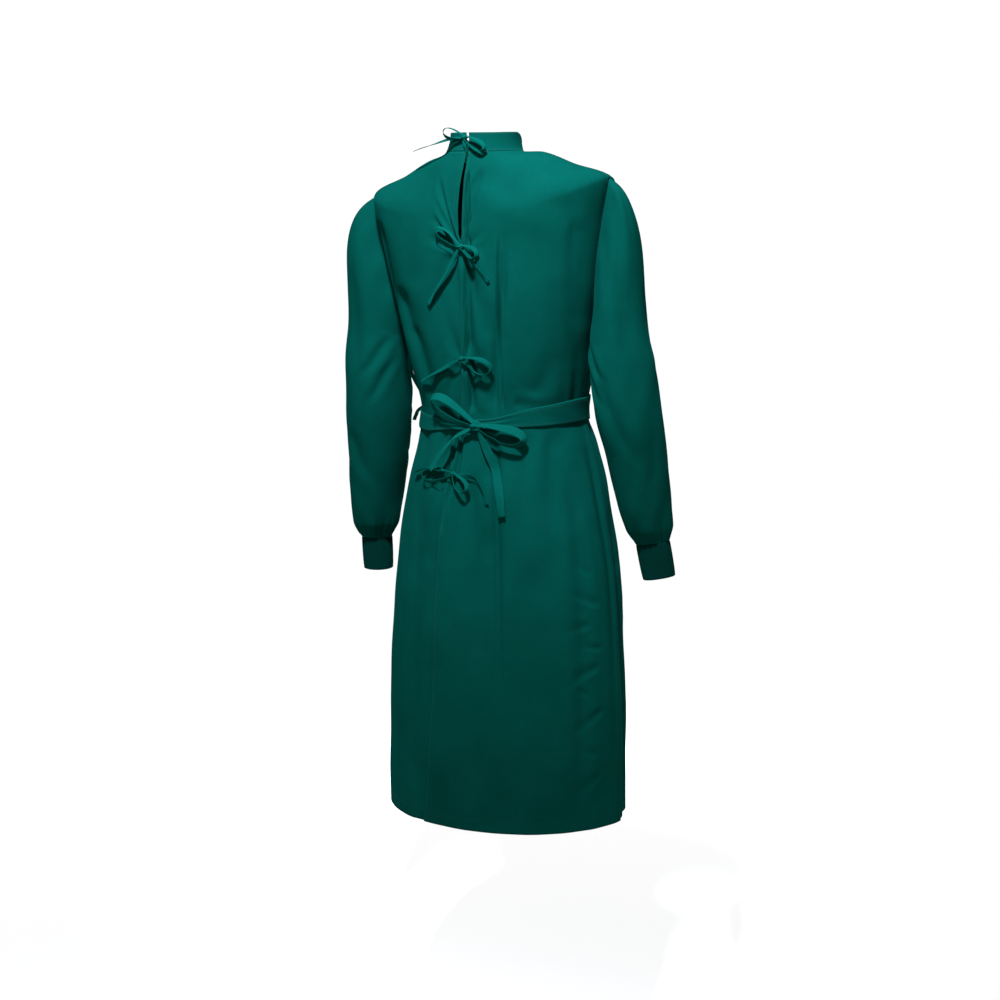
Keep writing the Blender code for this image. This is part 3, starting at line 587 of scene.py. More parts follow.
def back_left_points():
    line = BODY_LINES
    edge = angle_at(edge_at("left_edge", line), line)
    seam = -trimmed(side_angle(line, False), line, 1.0)
    angle = back_columns(edge, LEFT_FINE, seam, 84, 46)
    x = cloth_point(angle, line[:, None])[..., 0]
    return cloth_point(angle, line[:, None], tuck_at(x, line[:, None]))[:, ::-1]


def front_points():
    line = BODY_LINES[::2]
    side = trimmed(side_angle(line, True), line, -1.0)
    angle = between(side, 360.0 - side, np.linspace(0.0, 1.0, 190))
    return cloth_point(angle, line[:, None])


def collar_points():
    line = np.linspace(COLLAR_LINE, -SEAM, 15)
    start = angle_at(edge_at("right_edge", line), line)
    stop = 360.0 + angle_at(edge_at("left_edge", line), line)
    angle = between(start, stop, np.linspace(0.0, 1.0, 180))
    return cloth_point(angle, line[:, None])


def arm(values, around, z, out=0.0):
    """Point of an arm's section: around in degrees from the outside through the front."""
    turn = np.radians(around)
    side = np.sign(values["x"][0])
    across = read(values, "z", "across", z) + out
    fore = read(values, "z", "fore", z) + out
    x = read(values, "z", "x", z) + side * across * np.cos(turn)
    y = read(values, "z", "y", z) - fore * np.sin(turn)
    rise = read(values, "z", "lean", z) * across * np.cos(turn)
    return np.stack([x, y, z + rise], axis=-1)


def armhole(side, around):
    """Point of the armhole's seam: from the shoulder tip down the front and up the back."""
    share = (1.0 - np.cos(np.radians(around))) / 2.0
    line = TIP_LINE + (ARMPIT_LINE - TIP_LINE) * share
    ahead = np.asarray(around) % 360.0 <= 180.0
    angle = np.where(ahead, side_angle(line, True), side_angle(line, False))
    return cloth_point(-side * angle, line)


def sleeve_points(values, folds, fullness, drop, spread_back):
    """Rows from the armhole seam to the cuff seam, with folds and the gathers at the wrist."""
    count, head_rows, arm_rows = 144, 56, 120
    side = np.sign(values["x"][0])
    around = np.linspace(0.0, 360.0, count, endpoint=False)
    turn = np.radians(around)
    start = armhole(side, around)
    top = values["z"][0]
    stop = arm(values, around, np.full(count, top))
    spread = np.where(np.sin(turn) < 0.0, spread_back, HEAD_SPREAD)
    leave = np.stack([
        side * HEAD_OUT * (0.6 + 0.4 * np.cos(turn)),
        -spread * np.sin(turn),
        -drop - 0.45 * (1.0 - np.cos(turn)) / 2.0,
    ], axis=-1)
    leave = unit(leave)
    arrive = unit(arm(values, around, np.full(count, top - 0.02)) - stop)
    far = np.linalg.norm(stop - start, axis=-1, keepdims=True)
    start = start + leave * SEAM * 1.4
    head = [
        hermite(t, far, start, stop, leave * fullness, arrive) for t in np.linspace(0.0, 1.0, head_rows)
    ]
    wrist = values["z"][-1]
    share = 1.0 - (1.0 - np.linspace(0.0, 1.0, arm_rows + 1)[1:]) ** 1.25
    heights = top + (wrist + SEAM - top) * share
    points = np.array(head + [arm(values, around, np.full(count, z)) for z in heights])
    height = points[..., 2]
    out = points - points.mean(axis=1, keepdims=True)
    out[..., 2] = 0.0
    out = unit(out)
    round_now = np.broadcast_to(around, height.shape)
    rise = np.zeros(height.shape)
    for fold in each(SLEEVE_COLUMNS, folds):
        way = np.clip((height - fold["z_from"]) / (fold["z_to"] - fold["z_from"]), 0.0, 1.0)
        middle = fold["round_from"] + (fold["round_to"] - fold["round_from"]) * way
        away = np.radians(wrapped(round_now - middle)) * 0.055 / fold["half_width"]
        ends = eased(0.0, 0.35, way) * (1.0 - eased(0.65, 1.0, way))
        rise += fold["rise"] * ends * trough(away)
    for number, deep, reach in ((6, 0.0022, 0.085), (23, 0.0012, 0.050), (37, 0.0008, 0.030)):
        gather = eased(wrist + reach, wrist + 0.25 * reach, height)
        gather = gather * (1.0 - 0.85 * eased(wrist + 0.010, wrist + 0.001, height))
        wander = number * turn + 0.8 * np.sin(3.0 * turn + number) + 6.0 * (height - wrist)
        rise += deep * gather * (0.7 + 0.3 * np.cos(2.0 * turn + 0.6)) * np.cos(wander)
    share = np.linspace(0.0, 1.0, len(points))[:, None]
    ease = 0.0012 * np.sin(11.0 * turn + 9.0 * share) * (1.0 - eased(0.02, 0.22, share))
    rise += ease * eased(0.0, 0.03, share)
    wave = np.sin(5.0 * turn + 21.0 * share) * np.sin(17.0 * share + 2.0 * turn + 0.5)
    rise += 0.0008 * wave * eased(0.05, 0.20, share)
    points = points + out * rise[..., None]
    return points[:, ::-1] if side > 0 else points


def cuff_points(values):
    """A plain knit tube below a sleeve, down its outside, round its folded end and up inside."""
    count = 264
    side = np.sign(values["x"][0])
    wrist = values["z"][-1]
    lean = read(values, "z", "lean", wrist)
    down = np.array([side * lean, -0.06, -1.0])
    down = unit(down)
    around = np.linspace(0.0, 360.0, count, endpoint=False)
    ring = arm(values, around, np.full(count, wrist))
    centre = ring.mean(axis=0)
    spoke = ring - centre
    radius = np.linalg.norm(spoke, axis=1, keepdims=True)
    rows = []
    for share in np.linspace(0.0, 1.0, CUFF_STEPS):
        full = 1.0 - 0.04 * share + 0.020 * math.sin(math.pi * share)
        rows.append(centre + down * (CUFF_LENGTH * share) + spoke * full)
    rows.append(centre + down * (CUFF_LENGTH + 0.0009) + spoke * (0.96 - 0.5 * CUFF_WALL / radius))
    for share in np.linspace(1.0, 0.0, 8):
        inside = 0.96 + 0.04 * (1.0 - share) - CUFF_WALL / radius
        rows.append(centre + down * (CUFF_LENGTH * share) + spoke * inside)
    rows.append(rows[0])
    points = np.array(rows)
    return points[:, ::-1] if side > 0 else points


def belt_points():
    values = table(BELT_COLUMNS, BELT)
    angle = np.linspace(-180.0, 180.0, 300, endpoint=False)
    turn = np.radians(angle)
    middle = read(values, "angle", "z", angle)
    width = read(values, "angle", "width", angle)
    near = 1.0 - eased(6.0, 42.0, np.abs(angle - 4.0))
    rows = []
    for share in np.linspace(0.5, -0.5, 17):
        line = -(middle + share * width)
        pleat = 0.0009 * near * np.cos(share * 2.0 * math.pi * 2.5)
        soft = BELT_SLACK * np.sin(9.0 * turn + 5.0 * share) * np.sin(4.0 * turn)
        bow = -0.0008 * (2.0 * abs(share)) ** 4
        out = BELT_OUT + pleat + soft + bow
        rows.append(body(angle, line) + normal_of(body, angle, line, 0.4, 0.002) * out[..., None])
    return np.array(rows)


# Ties, as in the part's source: a knot is placed by its distance towards the wearer's left and
# its height. A loop's heading is measured from the wearer's left upwards. A tail has a width,
# anchors (towards the left, up, out from the cloth) measured from the knot, and how far it
# stands on its edge.
LOOP_COLUMNS = ("width", "length", "heading", "spread", "out", "lift", "stand")
TIES = {
    "tie_neck": {
        "knot": (0.6, 33.5), "size": (10, 9, 9), "rest": 5.1,
        "loops": ((8, 43, 14, 6.5, 7.5, 4, 62), (8, 46, 206, 6.5, 7.5, 3, 70)),
        "tails": (
            (7, ((1, 0, 6.5), (30, -3, 7), (72, -12, 8), (118, -22, 8)), 62),
            (7, ((0, -1, 6.5), (-1, -14, 7), (-10, -27, 10)), 20),
        ),
    },
    "tie_second": {
        "knot": (-8, -149), "size": (11, 10, 9), "rest": 5.1,
        "loops": ((9, 56, 31, 7.5, 7.5, 4, 55), (8, 38, 202, 7, 7.5, 4, 60)),
        "tails": (
            (8.5, ((1, 0, 6.5), (28, -39, 5.5), (52, -72, 5), (75, -101, 4.5)), 16),
            (8.5, ((0, -1, 6.5), (-26, -28, 5.5), (-53, -57, 4.5)), 12),
        ),
    },
    "tie_third": {
        "knot": (-2.5, -340), "size": (10, 9, 9), "rest": 5.1,
        "loops": ((8, 58, 196, 11, 7.5, 4, 55),),
        "tails": (
            (8, ((0, 0, 6.5), (-17, -16, 5.5), (-36, -30, 4.5)), 14),
            (8, ((1, 0, 6.5), (47, -22, 5.5), (104, -48, 4.5)), 30),
        ),
    },
    "belt_bow": {
        "knot": (-27, -456), "size": (20, 18, 13), "rest": 10.2,
        "loops": ((18, 96, 27, 13.5, 12.2, 6, 42), (16, 80, 198, 12, 11.8, 6, 46)),
        "tails": (
            (12, ((1, 0, 10.5), (38, -24, 14), (62, -55, 18.5), (80, -86, 20)), 24),
            (16, ((0, -1, 10.5), (-24, -49, 9), (-44, -95, 7), (-55, -155, 5.5)), 8),
        ),
    },
    "tie_fourth": {
        "knot": (14, -543), "size": (10, 9, 9), "rest": 5.1,
        "loops": ((7, 68, 351, 8.5, 7, 2, 60), (8, 42, 219, 8, 7.5, 4, 60)),
        "tails": (
            (7, ((1, 0.5, 6.5), (50, 6, 5.5), (102, -10, 4.5)), 60),
            (9, ((0, -1, 6.5), (-46, -5, 5.5), (-58, -18, 5), (-70, -47, 4.5)), 30),
        ),
    },
}
# The tie that stands out at the left side of the waist: its first measure is towards the front.
SIDE_TIE = {
    "knot": (-4, -447), "size": (10, 10, 10), "rest": 8.4,
    "loops": ((8, 74, 84, 8.5, 9.5, 20, 60),),
    "tails": (
        (8, ((0.5, 1, 9), (6, -12, 22), (6, -34, 24), (8, -60, 20)), 12),
        (7, ((-0.5, 0.5, 9.5), (-12, -8, 20), (-16, -22, 25), (-14, -36, 29)), 40),
    ),
}
LOOP_OPEN = 0.0024


def along_curve(anchors, count):
    """Points at even steps along a smooth curve through the anchors."""
    key = np.concatenate([[0.0], np.cumsum(np.linalg.norm(np.diff(anchors, axis=0), axis=1))])
    at = np.linspace(0.0, key[-1], count)
    slope = np.gradient(anchors, key, axis=0)
    i = np.clip(np.searchsorted(key, at) - 1, 0, len(key) - 2)
    h = (key[i + 1] - key[i])[:, None]
    t = (at - key[i])[:, None] / h
    return hermite(t, h, anchors[i], anchors[i + 1], slope[i], slope[i + 1])


def loop_curve(loop, count):
    """Centre line of a bow's loop: out along its heading and back beside itself."""
    t = np.linspace(0.0, 1.0, count)
    ahead = loop["length"] * np.sin(np.pi * t)
    beside = LOOP_OPEN * np.cos(np.pi * t) + loop["spread"] * np.sin(2.0 * np.pi * t)
    turn = math.radians(loop["heading"])
    left = ahead * math.cos(turn) - beside * math.sin(turn)
    up = ahead * math.sin(turn) + beside * math.cos(turn)
    return np.stack([left, up, loop["out"] + loop["lift"] * np.sin(np.pi * t)], axis=1)


def tape_points(path, widths, stands, knot, flat):
    """Rounded flat sections of a tape along a path over the cloth."""
    across, up, out = path[:, 0] + knot[0], path[:, 1] + knot[1], path[:, 2]
    centre = flat(across, up, out)
    outward = unit(flat(across, up, out + 0.004) - centre)
    ahead = unit(np.gradient(centre, axis=0))
    beside = unit(np.cross(outward, ahead))
    lift = np.cross(ahead, beside)
    turn = np.radians(stands)[:, None]
    wide = beside * np.cos(turn) + lift * np.sin(turn)
    thin = np.cross(ahead, wide)
    rings = []
    for k in range(12):
        a = 2.0 * math.pi * k / 12
        u = math.copysign(abs(math.cos(a)) ** 0.6, math.cos(a))
        v = math.copysign(abs(math.sin(a)) ** 0.8, math.sin(a))
        thick = v * TAPE / 2.0 * (1.0 + 0.4 * u * u)
        rings.append(centre + wide * (u * widths / 2.0)[:, None] + thin * thick)
    return np.stack(rings, axis=1)


def capped(mesh_name, points, look):
    """A closed tube through rings of points, its ends drawn in."""
    first = points[:1].mean(axis=1, keepdims=True)
    last = points[-1:].mean(axis=1, keepdims=True)
    ends = np.concatenate([
        first + (points[:1] - first) * 0.02, first + (points[:1] - first) * 0.9,
        points[1:-1],
        last + (points[-1:] - last) * 0.9, last + (points[-1:] - last) * 0.02,
    ])
    return grid_mesh(mesh_name, ends, True, look)


def knot_mesh(name, tie, look, flat):
    """A tied knot: a lumpy core with the folds of the tape wound round it."""
    knot, size, rest = metres(tie["knot"]), metres(tie["size"]), tie["rest"] / 1000.0
    place = flat(knot[:1], knot[1:], np.array([rest]))
    outward = unit(flat(knot[:1], knot[1:], np.array([rest + 0.004])) - place)[0]
    aside = unit(np.cross([0.0, 0.0, 1.0], outward))
    upward = np.cross(outward, aside)
    polar = np.linspace(0.02, math.pi - 0.02, 26)[:, None]
    turn = np.linspace(0.0, 2.0 * math.pi, 36, endpoint=False)[None, :]
    wound = 1.0 + 0.10 * np.cos(3.0 * turn + 2.0 * np.cos(polar)) * np.sin(polar)
    wound = wound + 0.07 * np.cos(7.0 * polar + 1.5 * np.sin(turn))
    wound = 0.52 * (wound + 0.12 * np.exp(-((np.cos(polar) / 0.32) ** 2)))
    a = wound * np.sin(polar) * np.cos(turn) * size[0]
    o = wound * np.sin(polar) * np.sin(turn) * size[2]
    u = wound * np.cos(polar) * size[1]
    points = place + a[..., None] * aside + o[..., None] * outward + u[..., None] * upward
    return grid_mesh(name, points, True, look)


def joined(name, meshes):
    """One object from several meshes."""
    made = [placed(f"{name}_{i}", mesh) for i, mesh in enumerate(meshes)]
    for one in bpy.context.selected_objects:
        one.select_set(False)
    for one in made:
        one.select_set(True)
    bpy.context.view_layer.objects.active = made[0]
    bpy.ops.object.join()
    made[0].name = name
    made[0].data.name = name
    made[0].select_set(False)
    return made[0]


def mended(obj, weld):
    """Joins the points that lie on each other, or turns the faces of closed shells outwards."""
    work = bmesh.new()
    work.from_mesh(obj.data)
    if weld:
        bmesh.ops.remove_doubles(work, verts=work.verts, dist=0.00002)
    else:
        bmesh.ops.recalc_face_normals(work, faces=work.faces)
    work.to_mesh(obj.data)
    work.free()
    return obj


def tie_piece(name, tie, look, flat):
    """A tie or a bow: its knot, its loops and its free ends."""
    meshes = [knot_mesh(name + "_knot", tie, look, flat)]
    knot = metres(tie["knot"])
    for loop in each(LOOP_COLUMNS, tie["loops"]):
        t = np.linspace(0.0, 1.0, 44)
        widths = loop["width"] * (0.45 + 0.55 * eased(0.0, 0.30, t) * (1.0 - eased(0.70, 1.0, t)))
        stands = loop["stand"] + 24.0 * np.sin(2.0 * np.pi * t)
        points = tape_points(loop_curve(loop, 44), widths, stands, knot, flat)
        meshes.append(capped(name + "_loop", points, look))
    for width, anchors, stand in tie["tails"]:
        width /= 1000.0
        t = np.linspace(0.0, 1.0, 46)
        path = along_curve(metres(anchors), 46)
        curl = 0.0007 * np.sin(9.0 * t + width * 900.0) * eased(0.1, 0.4, t)
        path[:, 2] += np.abs(curl)
        path[:, 0] += 1.4 * curl
        widths = width * (0.50 + 0.50 * eased(0.0, 0.30, t))
        stands = stand + 22.0 * np.sin(5.5 * t + width * 500.0)
        meshes.append(capped(name + "_tail", tape_points(path, widths, stands, knot, flat), look))
    return mended(joined(name + "_tape", meshes), False)


def socket_of(tree, name):
    return next(item.identifier for item in tree.interface.items_tree if item.name == name)


def nodes_tree(name, inputs):
    """A Geometry Nodes tree with its geometry sockets and its named sizes."""
    tree = bpy.data.node_groups.new(name, "GeometryNodeTree")
    tree.interface.new_socket("Geometry", in_out="INPUT", socket_type="NodeSocketGeometry")
    for label, kind, value in inputs:
        made = tree.interface.new_socket(label, in_out="INPUT", socket_type=kind)
        made.default_value = value
    tree.interface.new_socket("Geometry", in_out="OUTPUT", socket_type="NodeSocketGeometry")
    return tree, tree.nodes.new("NodeGroupInput"), tree.nodes.new("NodeGroupOutput")


def added(tree, kind, inputs=None, **settings):
    """A new node with its settings and the fixed values of its inputs."""
    made = tree.nodes.new(kind)
    for name, value in settings.items():
        setattr(made, name, value)
    for name, value in (inputs or {}).items():
        made.inputs[name].default_value = value
    return made


def wired(tree, *rows):
    """Links nodes: each row is a node, its output, the next node and its input."""
    for one, out, other, into in rows:
        tree.links.new(one.outputs[out], other.inputs[into])


def stitch_tree(look):
    """Lays a short thread at even steps along each line of the mesh."""
    tree, entry, leave = nodes_tree("sewing_rows", (
        ("Pitch", "NodeSocketFloat", 0.0032),
        ("Stitch length", "NodeSocketFloat", 0.0024),
        ("Thread", "NodeSocketFloat", 0.0005),
    ))
    curve = added(tree, "GeometryNodeMeshToCurve")
    even = added(tree, "GeometryNodeResampleCurve", mode="LENGTH")
    thread = added(tree, "GeometryNodeMeshIcoSphere", {"Radius": 0.5, "Subdivisions": 1})
    tangent = added(tree, "GeometryNodeInputTangent")
    align = added(tree, "FunctionNodeAlignEulerToVector", axis="X")
    size = added(tree, "ShaderNodeCombineXYZ")
    lay = added(tree, "GeometryNodeInstanceOnPoints")
    real = added(tree, "GeometryNodeRealizeInstances")
    paint = added(tree, "GeometryNodeSetMaterial", {"Material": look})
    wired(
        tree,
        (entry, "Geometry", curve, "Mesh"), (curve, "Curve", even, "Curve"),
        (entry, "Pitch", even, "Length"), (even, "Curve", lay, "Points"),
        (thread, "Mesh", lay, "Instance"), (tangent, "Tangent", align, "Vector"),
        (align, "Rotation", lay, "Rotation"), (entry, "Stitch length", size, "X"),
        (entry, "Thread", size, "Y"), (entry, "Thread", size, "Z"),
        (size, "Vector", lay, "Scale"), (lay, "Instances", real, "Geometry"),
        (real, "Geometry", paint, "Geometry"), (paint, "Geometry", leave, "Geometry"),
    )
    return tree


def rib_tree(look):
    """Raises the ribs of a knit cuff along the outward normal, by place round the cuff."""
    tree, entry, leave = nodes_tree("cuff_ribs", (
        ("Ribs", "NodeSocketFloat", 66.0),
        ("Rib rise", "NodeSocketFloat", 0.0007),
    ))
    place, shown = (
        added(tree, "GeometryNodeInputNamedAttribute", {"Name": name}, data_type="FLOAT")
        for name in ("round", "outer")
    )
    turns, wave, rise, kept = (
        added(tree, "ShaderNodeMath", operation=kind)
        for kind in ("MULTIPLY", "COSINE", "MULTIPLY", "MULTIPLY")
    )
    normal = added(tree, "GeometryNodeInputNormal")
    push = added(tree, "ShaderNodeVectorMath", operation="SCALE")
    move = added(tree, "GeometryNodeSetPosition")
    real = added(tree, "GeometryNodeRealizeInstances")
    paint = added(tree, "GeometryNodeSetMaterial", {"Material": look})
    wired(
        tree,
        (place, "Attribute", turns, 0), (entry, "Ribs", turns, 1), (turns, 0, wave, 0),
        (wave, 0, rise, 0), (entry, "Rib rise", rise, 1), (rise, 0, kept, 0),
        (shown, "Attribute", kept, 1), (normal, "Normal", push, 0), (kept, 0, push, "Scale"),
        (entry, "Geometry", move, "Geometry"), (push, "Vector", move, "Offset"),
        (move, "Geometry", real, "Geometry"), (real, "Geometry", paint, "Geometry"),
        (paint, "Geometry", leave, "Geometry"),
    )
    return tree


def made_plain(obj, tree, sizes):
    """Runs a Geometry Nodes tree on an object and keeps its result as a plain mesh."""
    run = obj.modifiers.new(tree.name, "NODES")
    run.node_group = tree
    for label, value in sizes.items():
        run[socket_of(tree, label)] = value
    bpy.context.view_layer.update()
    graph = bpy.context.evaluated_depsgraph_get()
    result = bpy.data.meshes.new_from_object(
        obj.evaluated_get(graph), preserve_all_data_layers=True, depsgraph=graph
    )
    obj.modifiers.remove(run)
    obj.data = result
    return obj


def lines_object(name, paths):
    """Open chains of edges, one for each row of stitches."""
    points, edges = [], []
    for path in paths:
        first = len(points)
        points += path.tolist()
        edges += [(first + i, first + i + 1) for i in range(len(path) - 1)]
    mesh = bpy.data.meshes.new(name)
    mesh.from_pydata(points, edges, [])
    return placed(name, mesh)


def stitch_paths():
    """Rows of stitches on the body and the collar, just proud of the cloth."""
    hem = np.full(260, HEM_LINE - 0.020)
    lap = edge_at("right_edge", hem)
    first, last = angle_at(lap - 0.004, hem)[0], 360.0 + angle_at(lap + 0.003, hem)[0]
    paths = [
        cloth_point(np.linspace(start, stop, count), hem[:count], PROUD)
        for start, stop, count in ((first, 89.0, 160), (91.0, 269.0, 260), (271.0, last, 160))
    ]
    line = np.linspace(0.004, HEM_LINE - 0.004, 560)
    paths.append(cloth_point(angle_at(edge_at("right_edge", line) - 0.0035, line), line, PROUD))
    upper = line[line < 0.150]
    paths.append(cloth_point(angle_at(edge_at("left_edge", upper) + 0.0075, upper), upper, PROUD))
    for row in (COLLAR_LINE + 0.0030, -0.0035):
        at = np.full(200, row)
        start = angle_at(edge_at("right_edge", at), at)[0] + 1.5
        stop = 358.0 + angle_at(edge_at("left_edge", at), at)[0]
        paths.append(cloth_point(np.linspace(start, stop, 200), at, PROUD))
    shoulder = np.linspace(0.006, TIP_LINE - 0.006, 60)
    flank = np.linspace(ARMPIT_LINE + 0.004, HEM_LINE - 0.004, 400)
    hole = np.linspace(TIP_LINE + 0.004, ARMPIT_LINE - 0.004, 120)
    for side in (1.0, -1.0):
        for seam in (shoulder, flank):
            aside = np.degrees(0.0032 / half_width(seam))
            paths.append(cloth_point(side * (90.0 - aside), seam, PROUD))
        aside = np.degrees(0.0036 / half_width(hole))
        paths.append(cloth_point(side * (side_angle(hole, False) - aside), hole, PROUD))
        paths.append(cloth_point(side * (side_angle(hole, True) + aside), hole, PROUD))
    return paths


def belt_paths(rows):
    return [np.concatenate([rows[i], rows[i][:1]]) for i in (2, len(rows) - 3)]


def blank(name):
    made = bpy.data.materials.new(name)
    made.use_nodes = True
    tree = made.node_tree
    tree.nodes.clear()
    shader = tree.nodes.new("ShaderNodeBsdfPrincipled")
    leave = tree.nodes.new("ShaderNodeOutputMaterial")
    tree.links.new(shader.outputs[0], leave.inputs["Surface"])
    return made, tree, shader


def cloth_material(name, deep, lively, roughness, pitch, bump, ribbed=False):
    """Dyed cloth: uneven dye, a fine weave on the cloth's own map, worn paler at its edges."""
    made, tree, shader = blank(name)
    place = added(tree, "ShaderNodeTexCoord")
    soft = added(tree, "ShaderNodeTexNoise", {"Scale": 9.0, "Detail": 4.0, "Roughness": 0.6})
    slub = added(tree, "ShaderNodeMapping", {"Scale": (900.0, 60.0, 1.0)})
    yarn = added(tree, "ShaderNodeTexNoise", {"Scale": 1.0, "Detail": 2.0})
    both = added(tree, "ShaderNodeMix", {"Factor": 0.30}, data_type="FLOAT")
    dye = added(tree, "ShaderNodeValToRGB")
    for stop, at, colour in zip(dye.color_ramp.elements, (0.30, 0.72), (deep, lively)):
        stop.position = at
        stop.color = colour
    worn = added(tree, "ShaderNodeAttribute", attribute_name="worn")
    wear = added(tree, "ShaderNodeMath", {1: WEAR}, operation="MULTIPLY")
    faded = tuple(min(1.0, c * 1.9) for c in lively[:3]) + (1.0,)
    pale = added(tree, "ShaderNodeMix", {"B": faded}, data_type="RGBA")
    lie = 0.0 if ribbed else math.radians(58.0)
    turned = added(tree, "ShaderNodeMapping", {"Rotation": (0.0, 0.0, lie)})
    weave = added(
        tree, "ShaderNodeTexWave", {"Scale": 0.314 / pitch, "Distortion": 0.6, "Detail": 1.0},
        wave_type="BANDS", bands_direction="X",
    )
    height = added(tree, "ShaderNodeMath", operation="ADD")
    relief = added(tree, "ShaderNodeBump", {"Strength": bump, "Distance": pitch * 0.35})
    ends = {"To Min": roughness - 0.05, "To Max": roughness + 0.07}
    rough = added(tree, "ShaderNodeMapRange", ends)
    wired(
        tree,
        (place, "Object", soft, "Vector"), (place, "UV", slub, "Vector"),
        (slub, "Vector", yarn, "Vector"), (soft, "Fac", both, "A"), (yarn, "Fac", both, "B"),
        (both, "Result", dye, "Fac"), (worn, "Fac", wear, 0), (wear, 0, pale, "Factor"),
        (dye, "Color", pale, "A"), (pale, "Result", shader, "Base Color"),
        (place, "UV", turned, "Vector"), (turned, "Vector", weave, "Vector"),
        (weave, "Fac", height, 0), (yarn, "Fac", height, 1), (height, 0, relief, "Height"),
        (relief, "Normal", shader, "Normal"), (soft, "Fac", rough, "Value"),
        (rough, "Result", shader, "Roughness"),
    )
    for name, value in (
        ("Specular IOR Level", 0.0), ("Specular Tint", (0.10, 1.0, 0.86, 1.0)),
        ("Sheen Weight", 0.010), ("Sheen Roughness", 0.45), ("Sheen Tint", (0.02, 0.80, 0.66, 1.0)),
    ):
        shader.inputs[name].default_value = value
    return made


def thread_material():
    made, tree, shader = blank("sewing_thread")
    place = added(tree, "ShaderNodeTexCoord")
    ply = added(tree, "ShaderNodeTexNoise", {"Scale": 1400.0})
    dye = added(tree, "ShaderNodeValToRGB")
    dye.color_ramp.elements[0].color = (0.0004, 0.018, 0.014, 1.0)
    dye.color_ramp.elements[1].color = (0.0007, 0.030, 0.024, 1.0)
    wired(
        tree,
        (place, "Object", ply, "Vector"), (ply, "Fac", dye, "Fac"),
        (dye, "Color", shader, "Base Color"),
    )
    shader.inputs["Roughness"].default_value = 0.55
    shader.inputs["Specular IOR Level"].default_value = 0.2
    return made


def plain_material(name, colour, roughness):
    made, _, shader = blank(name)
    shader.inputs["Base Color"].default_value = colour
    shader.inputs["Roughness"].default_value = roughness
    return made


def mark_worn(obj, points, closed):
    """Notes how near each point of a panel lies to its cut edges."""
    rows, columns = points.shape[:2]
    down = np.zeros((rows, columns))
    down[1:] = np.cumsum(np.linalg.norm(np.diff(points, axis=0), axis=-1), axis=0)
    near = np.minimum(down, down[-1:] - down)
    if not closed:
        across = np.zeros((rows, columns))
        across[:, 1:] = np.cumsum(np.linalg.norm(np.diff(points, axis=1), axis=-1), axis=1)
        near = np.minimum(near, np.minimum(across, across[:, -1:] - across))
    layer = obj.data.attributes.new("worn", "FLOAT", "POINT")
    layer.data.foreach_set("value", np.exp(-near / WORN_REACH).reshape(-1))


def stand_in(made, node):
    """A piece that hides its node of the CAD and moves with the root body."""
    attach(made, "root")
    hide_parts(node)


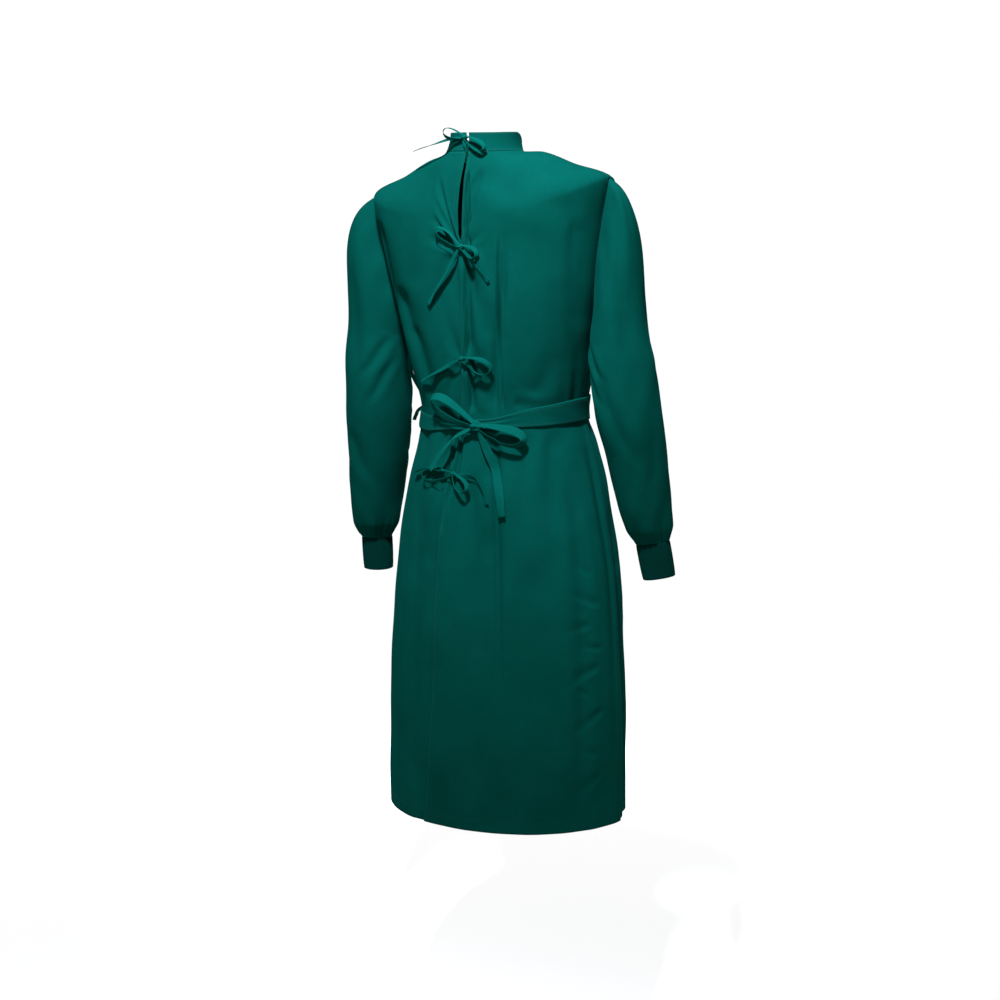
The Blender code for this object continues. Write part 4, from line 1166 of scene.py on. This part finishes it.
def main():
    cotton = cloth_material(
        "green_cotton_twill", (0.0002, 0.0172, 0.0130, 1.0), (0.0004, 0.0236, 0.0186, 1.0), 0.56, 0.0006, 0.22
    )
    tape = cloth_material(
        "green_cotton_tape", (0.0003, 0.0200, 0.0152, 1.0), (0.0005, 0.0310, 0.0245, 1.0), 0.52, 0.0005, 0.25
    )
    knit = cloth_material(
        "dark_rib_knit", (0.0003, 0.0085, 0.0064, 1.0), (0.0005, 0.0130, 0.0102, 1.0), 0.80, 0.0009, 0.35,
        ribbed=True,
    )
    thread = thread_material()
    right, left = table(ARM_COLUMNS, RIGHT_ARM), table(ARM_COLUMNS, LEFT_ARM)
    right_sleeve = sleeve_points(right, RIGHT_SLEEVE_FOLDS, RIGHT_FULLNESS, RIGHT_DROP, RIGHT_SPREAD)
    left_sleeve = sleeve_points(left, LEFT_SLEEVE_FOLDS, LEFT_FULLNESS, LEFT_DROP, LEFT_SPREAD)
    belt = belt_points()
    for name, node, points, closed, wall, flat, area, held in (
        ("cloth_front", "front", front_points(), False, WALL, (0.62, 1.20), 0.604, "hung"),
        ("cloth_back_right", "back_right", back_right_points(), False, WALL, (0.36, 1.22), 0.373, "hung"),
        ("cloth_back_left", "back_left", back_left_points(), False, WALL, (0.37, 1.22), 0.377, "hung"),
        ("cloth_sleeve_right", "sleeve_right", right_sleeve, True, WALL, (0.44, 0.60), 0.174, "gathered"),
        ("cloth_sleeve_left", "sleeve_left", left_sleeve, True, WALL, (0.46, 0.66), 0.205, "gathered"),
        ("cloth_collar", "collar", collar_points(), False, WALL, (0.40, 0.037), 0.0135, "hung"),
        ("cloth_belt", "belt", belt, True, BELT_WALL, (1.06, 0.038), 0.0300, "stretched"),
    ):
        made = walled(name, points, closed, cotton, wall)
        mark_worn(made, points, closed)
        stand_in(made, node)

    ribs = rib_tree(knit)
    for node, values in (("cuff_right", right), ("cuff_left", left)):
        points = cuff_points(values)
        made = placed("knit_" + node, grid_mesh("knit_" + node, points, True, knit))
        turn = np.linspace(0.0, 2.0 * math.pi, points.shape[1], endpoint=False)
        outer = np.zeros(points.shape[:2])
        outer[1:CUFF_STEPS] = 1.0
        outer[CUFF_STEPS - 2 : CUFF_STEPS] = 0.5
        for label, notes in (("round", np.tile(turn, len(points))), ("outer", outer.reshape(-1))):
            made.data.attributes.new(label, "FLOAT", "POINT").data.foreach_set("value", notes)
        made_plain(made, ribs, {"Ribs": CUFF_RIBS, "Rib rise": RIB_RISE})
        mended(made, True)
        stand_in(made, node)

    under = {"tie_neck": on_neck, "tie_side": on_left_side}
    for node, tie in {**TIES, "tie_side": SIDE_TIE}.items():
        stand_in(tie_piece(node, tie, tape, under.get(node, on_back)), node)

    sewing = stitch_tree(thread)
    for name, paths in (("sewing_body", stitch_paths()), ("sewing_belt", belt_paths(belt))):
        made = made_plain(lines_object(name, paths), sewing, STITCH)
        made.data.shade_smooth()
        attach(made, "root")


FLOOR_HEIGHT = -1.65
CAMERA_SPOT = (-1.8174, 2.6944, -0.02)
CAMERA_AIM = (-0.0191, -0.0129, -0.599)
CAMERA_LENS = 66.8
LAMP_COLOUR = (0.90, 1.0, 1.14)
FLOOR_REACH = 30.0


def aimed(obj, spot, aim):
    obj.location = spot
    obj.rotation_euler = (Vector(aim) - Vector(spot)).to_track_quat("-Z", "Y").to_euler()


def lamp(name, spot, aim, cone, radius, watts):
    """A soft round lamp whose light dies out towards the edge of its cone."""
    data = bpy.data.lights.new(name, "SPOT")
    data.spot_size = math.radians(cone)
    data.spot_blend = 1.0
    data.shadow_soft_size = radius
    data.energy = watts
    data.color = LAMP_COLOUR
    made = placed(name, data)
    aimed(made, spot, aim)


def studio():
    scene = bpy.context.scene
    mesh = bpy.data.meshes.new("floor")
    corners = ((-1, -1), (1, -1), (1, 1), (-1, 1))
    points = [(x * FLOOR_REACH, y * FLOOR_REACH, FLOOR_HEIGHT) for x, y in corners]
    mesh.from_pydata(points, [], [(0, 1, 2, 3)])
    mesh.materials.append(plain_material("pale_floor", (0.97, 0.97, 0.97, 1.0), 0.9))
    placed("floor", mesh)
    world = bpy.data.worlds.new("soft_studio")
    world.use_nodes = True
    background = world.node_tree.nodes["Background"]
    background.inputs["Color"].default_value = (1.0, 1.0, 1.0, 1.0)
    background.inputs["Strength"].default_value = 1.05
    scene.world = world
    scene.view_settings.view_transform = "Standard"
    lamp("key", (-0.52, 1.25, 1.60), (0.0, 0.02, -0.20), 32.0, 0.14, 1500.0)
    lamp("front_fill", (0.50, -2.40, 0.50), (0.0, 0.0, -0.50), 50.0, 0.30, 420.0)
    data = bpy.data.cameras.new("camera")
    data.sensor_width = 36.0
    data.lens = CAMERA_LENS
    camera = placed("camera", data)
    aimed(camera, CAMERA_SPOT, CAMERA_AIM)
    scene.camera = camera


main()
studio()
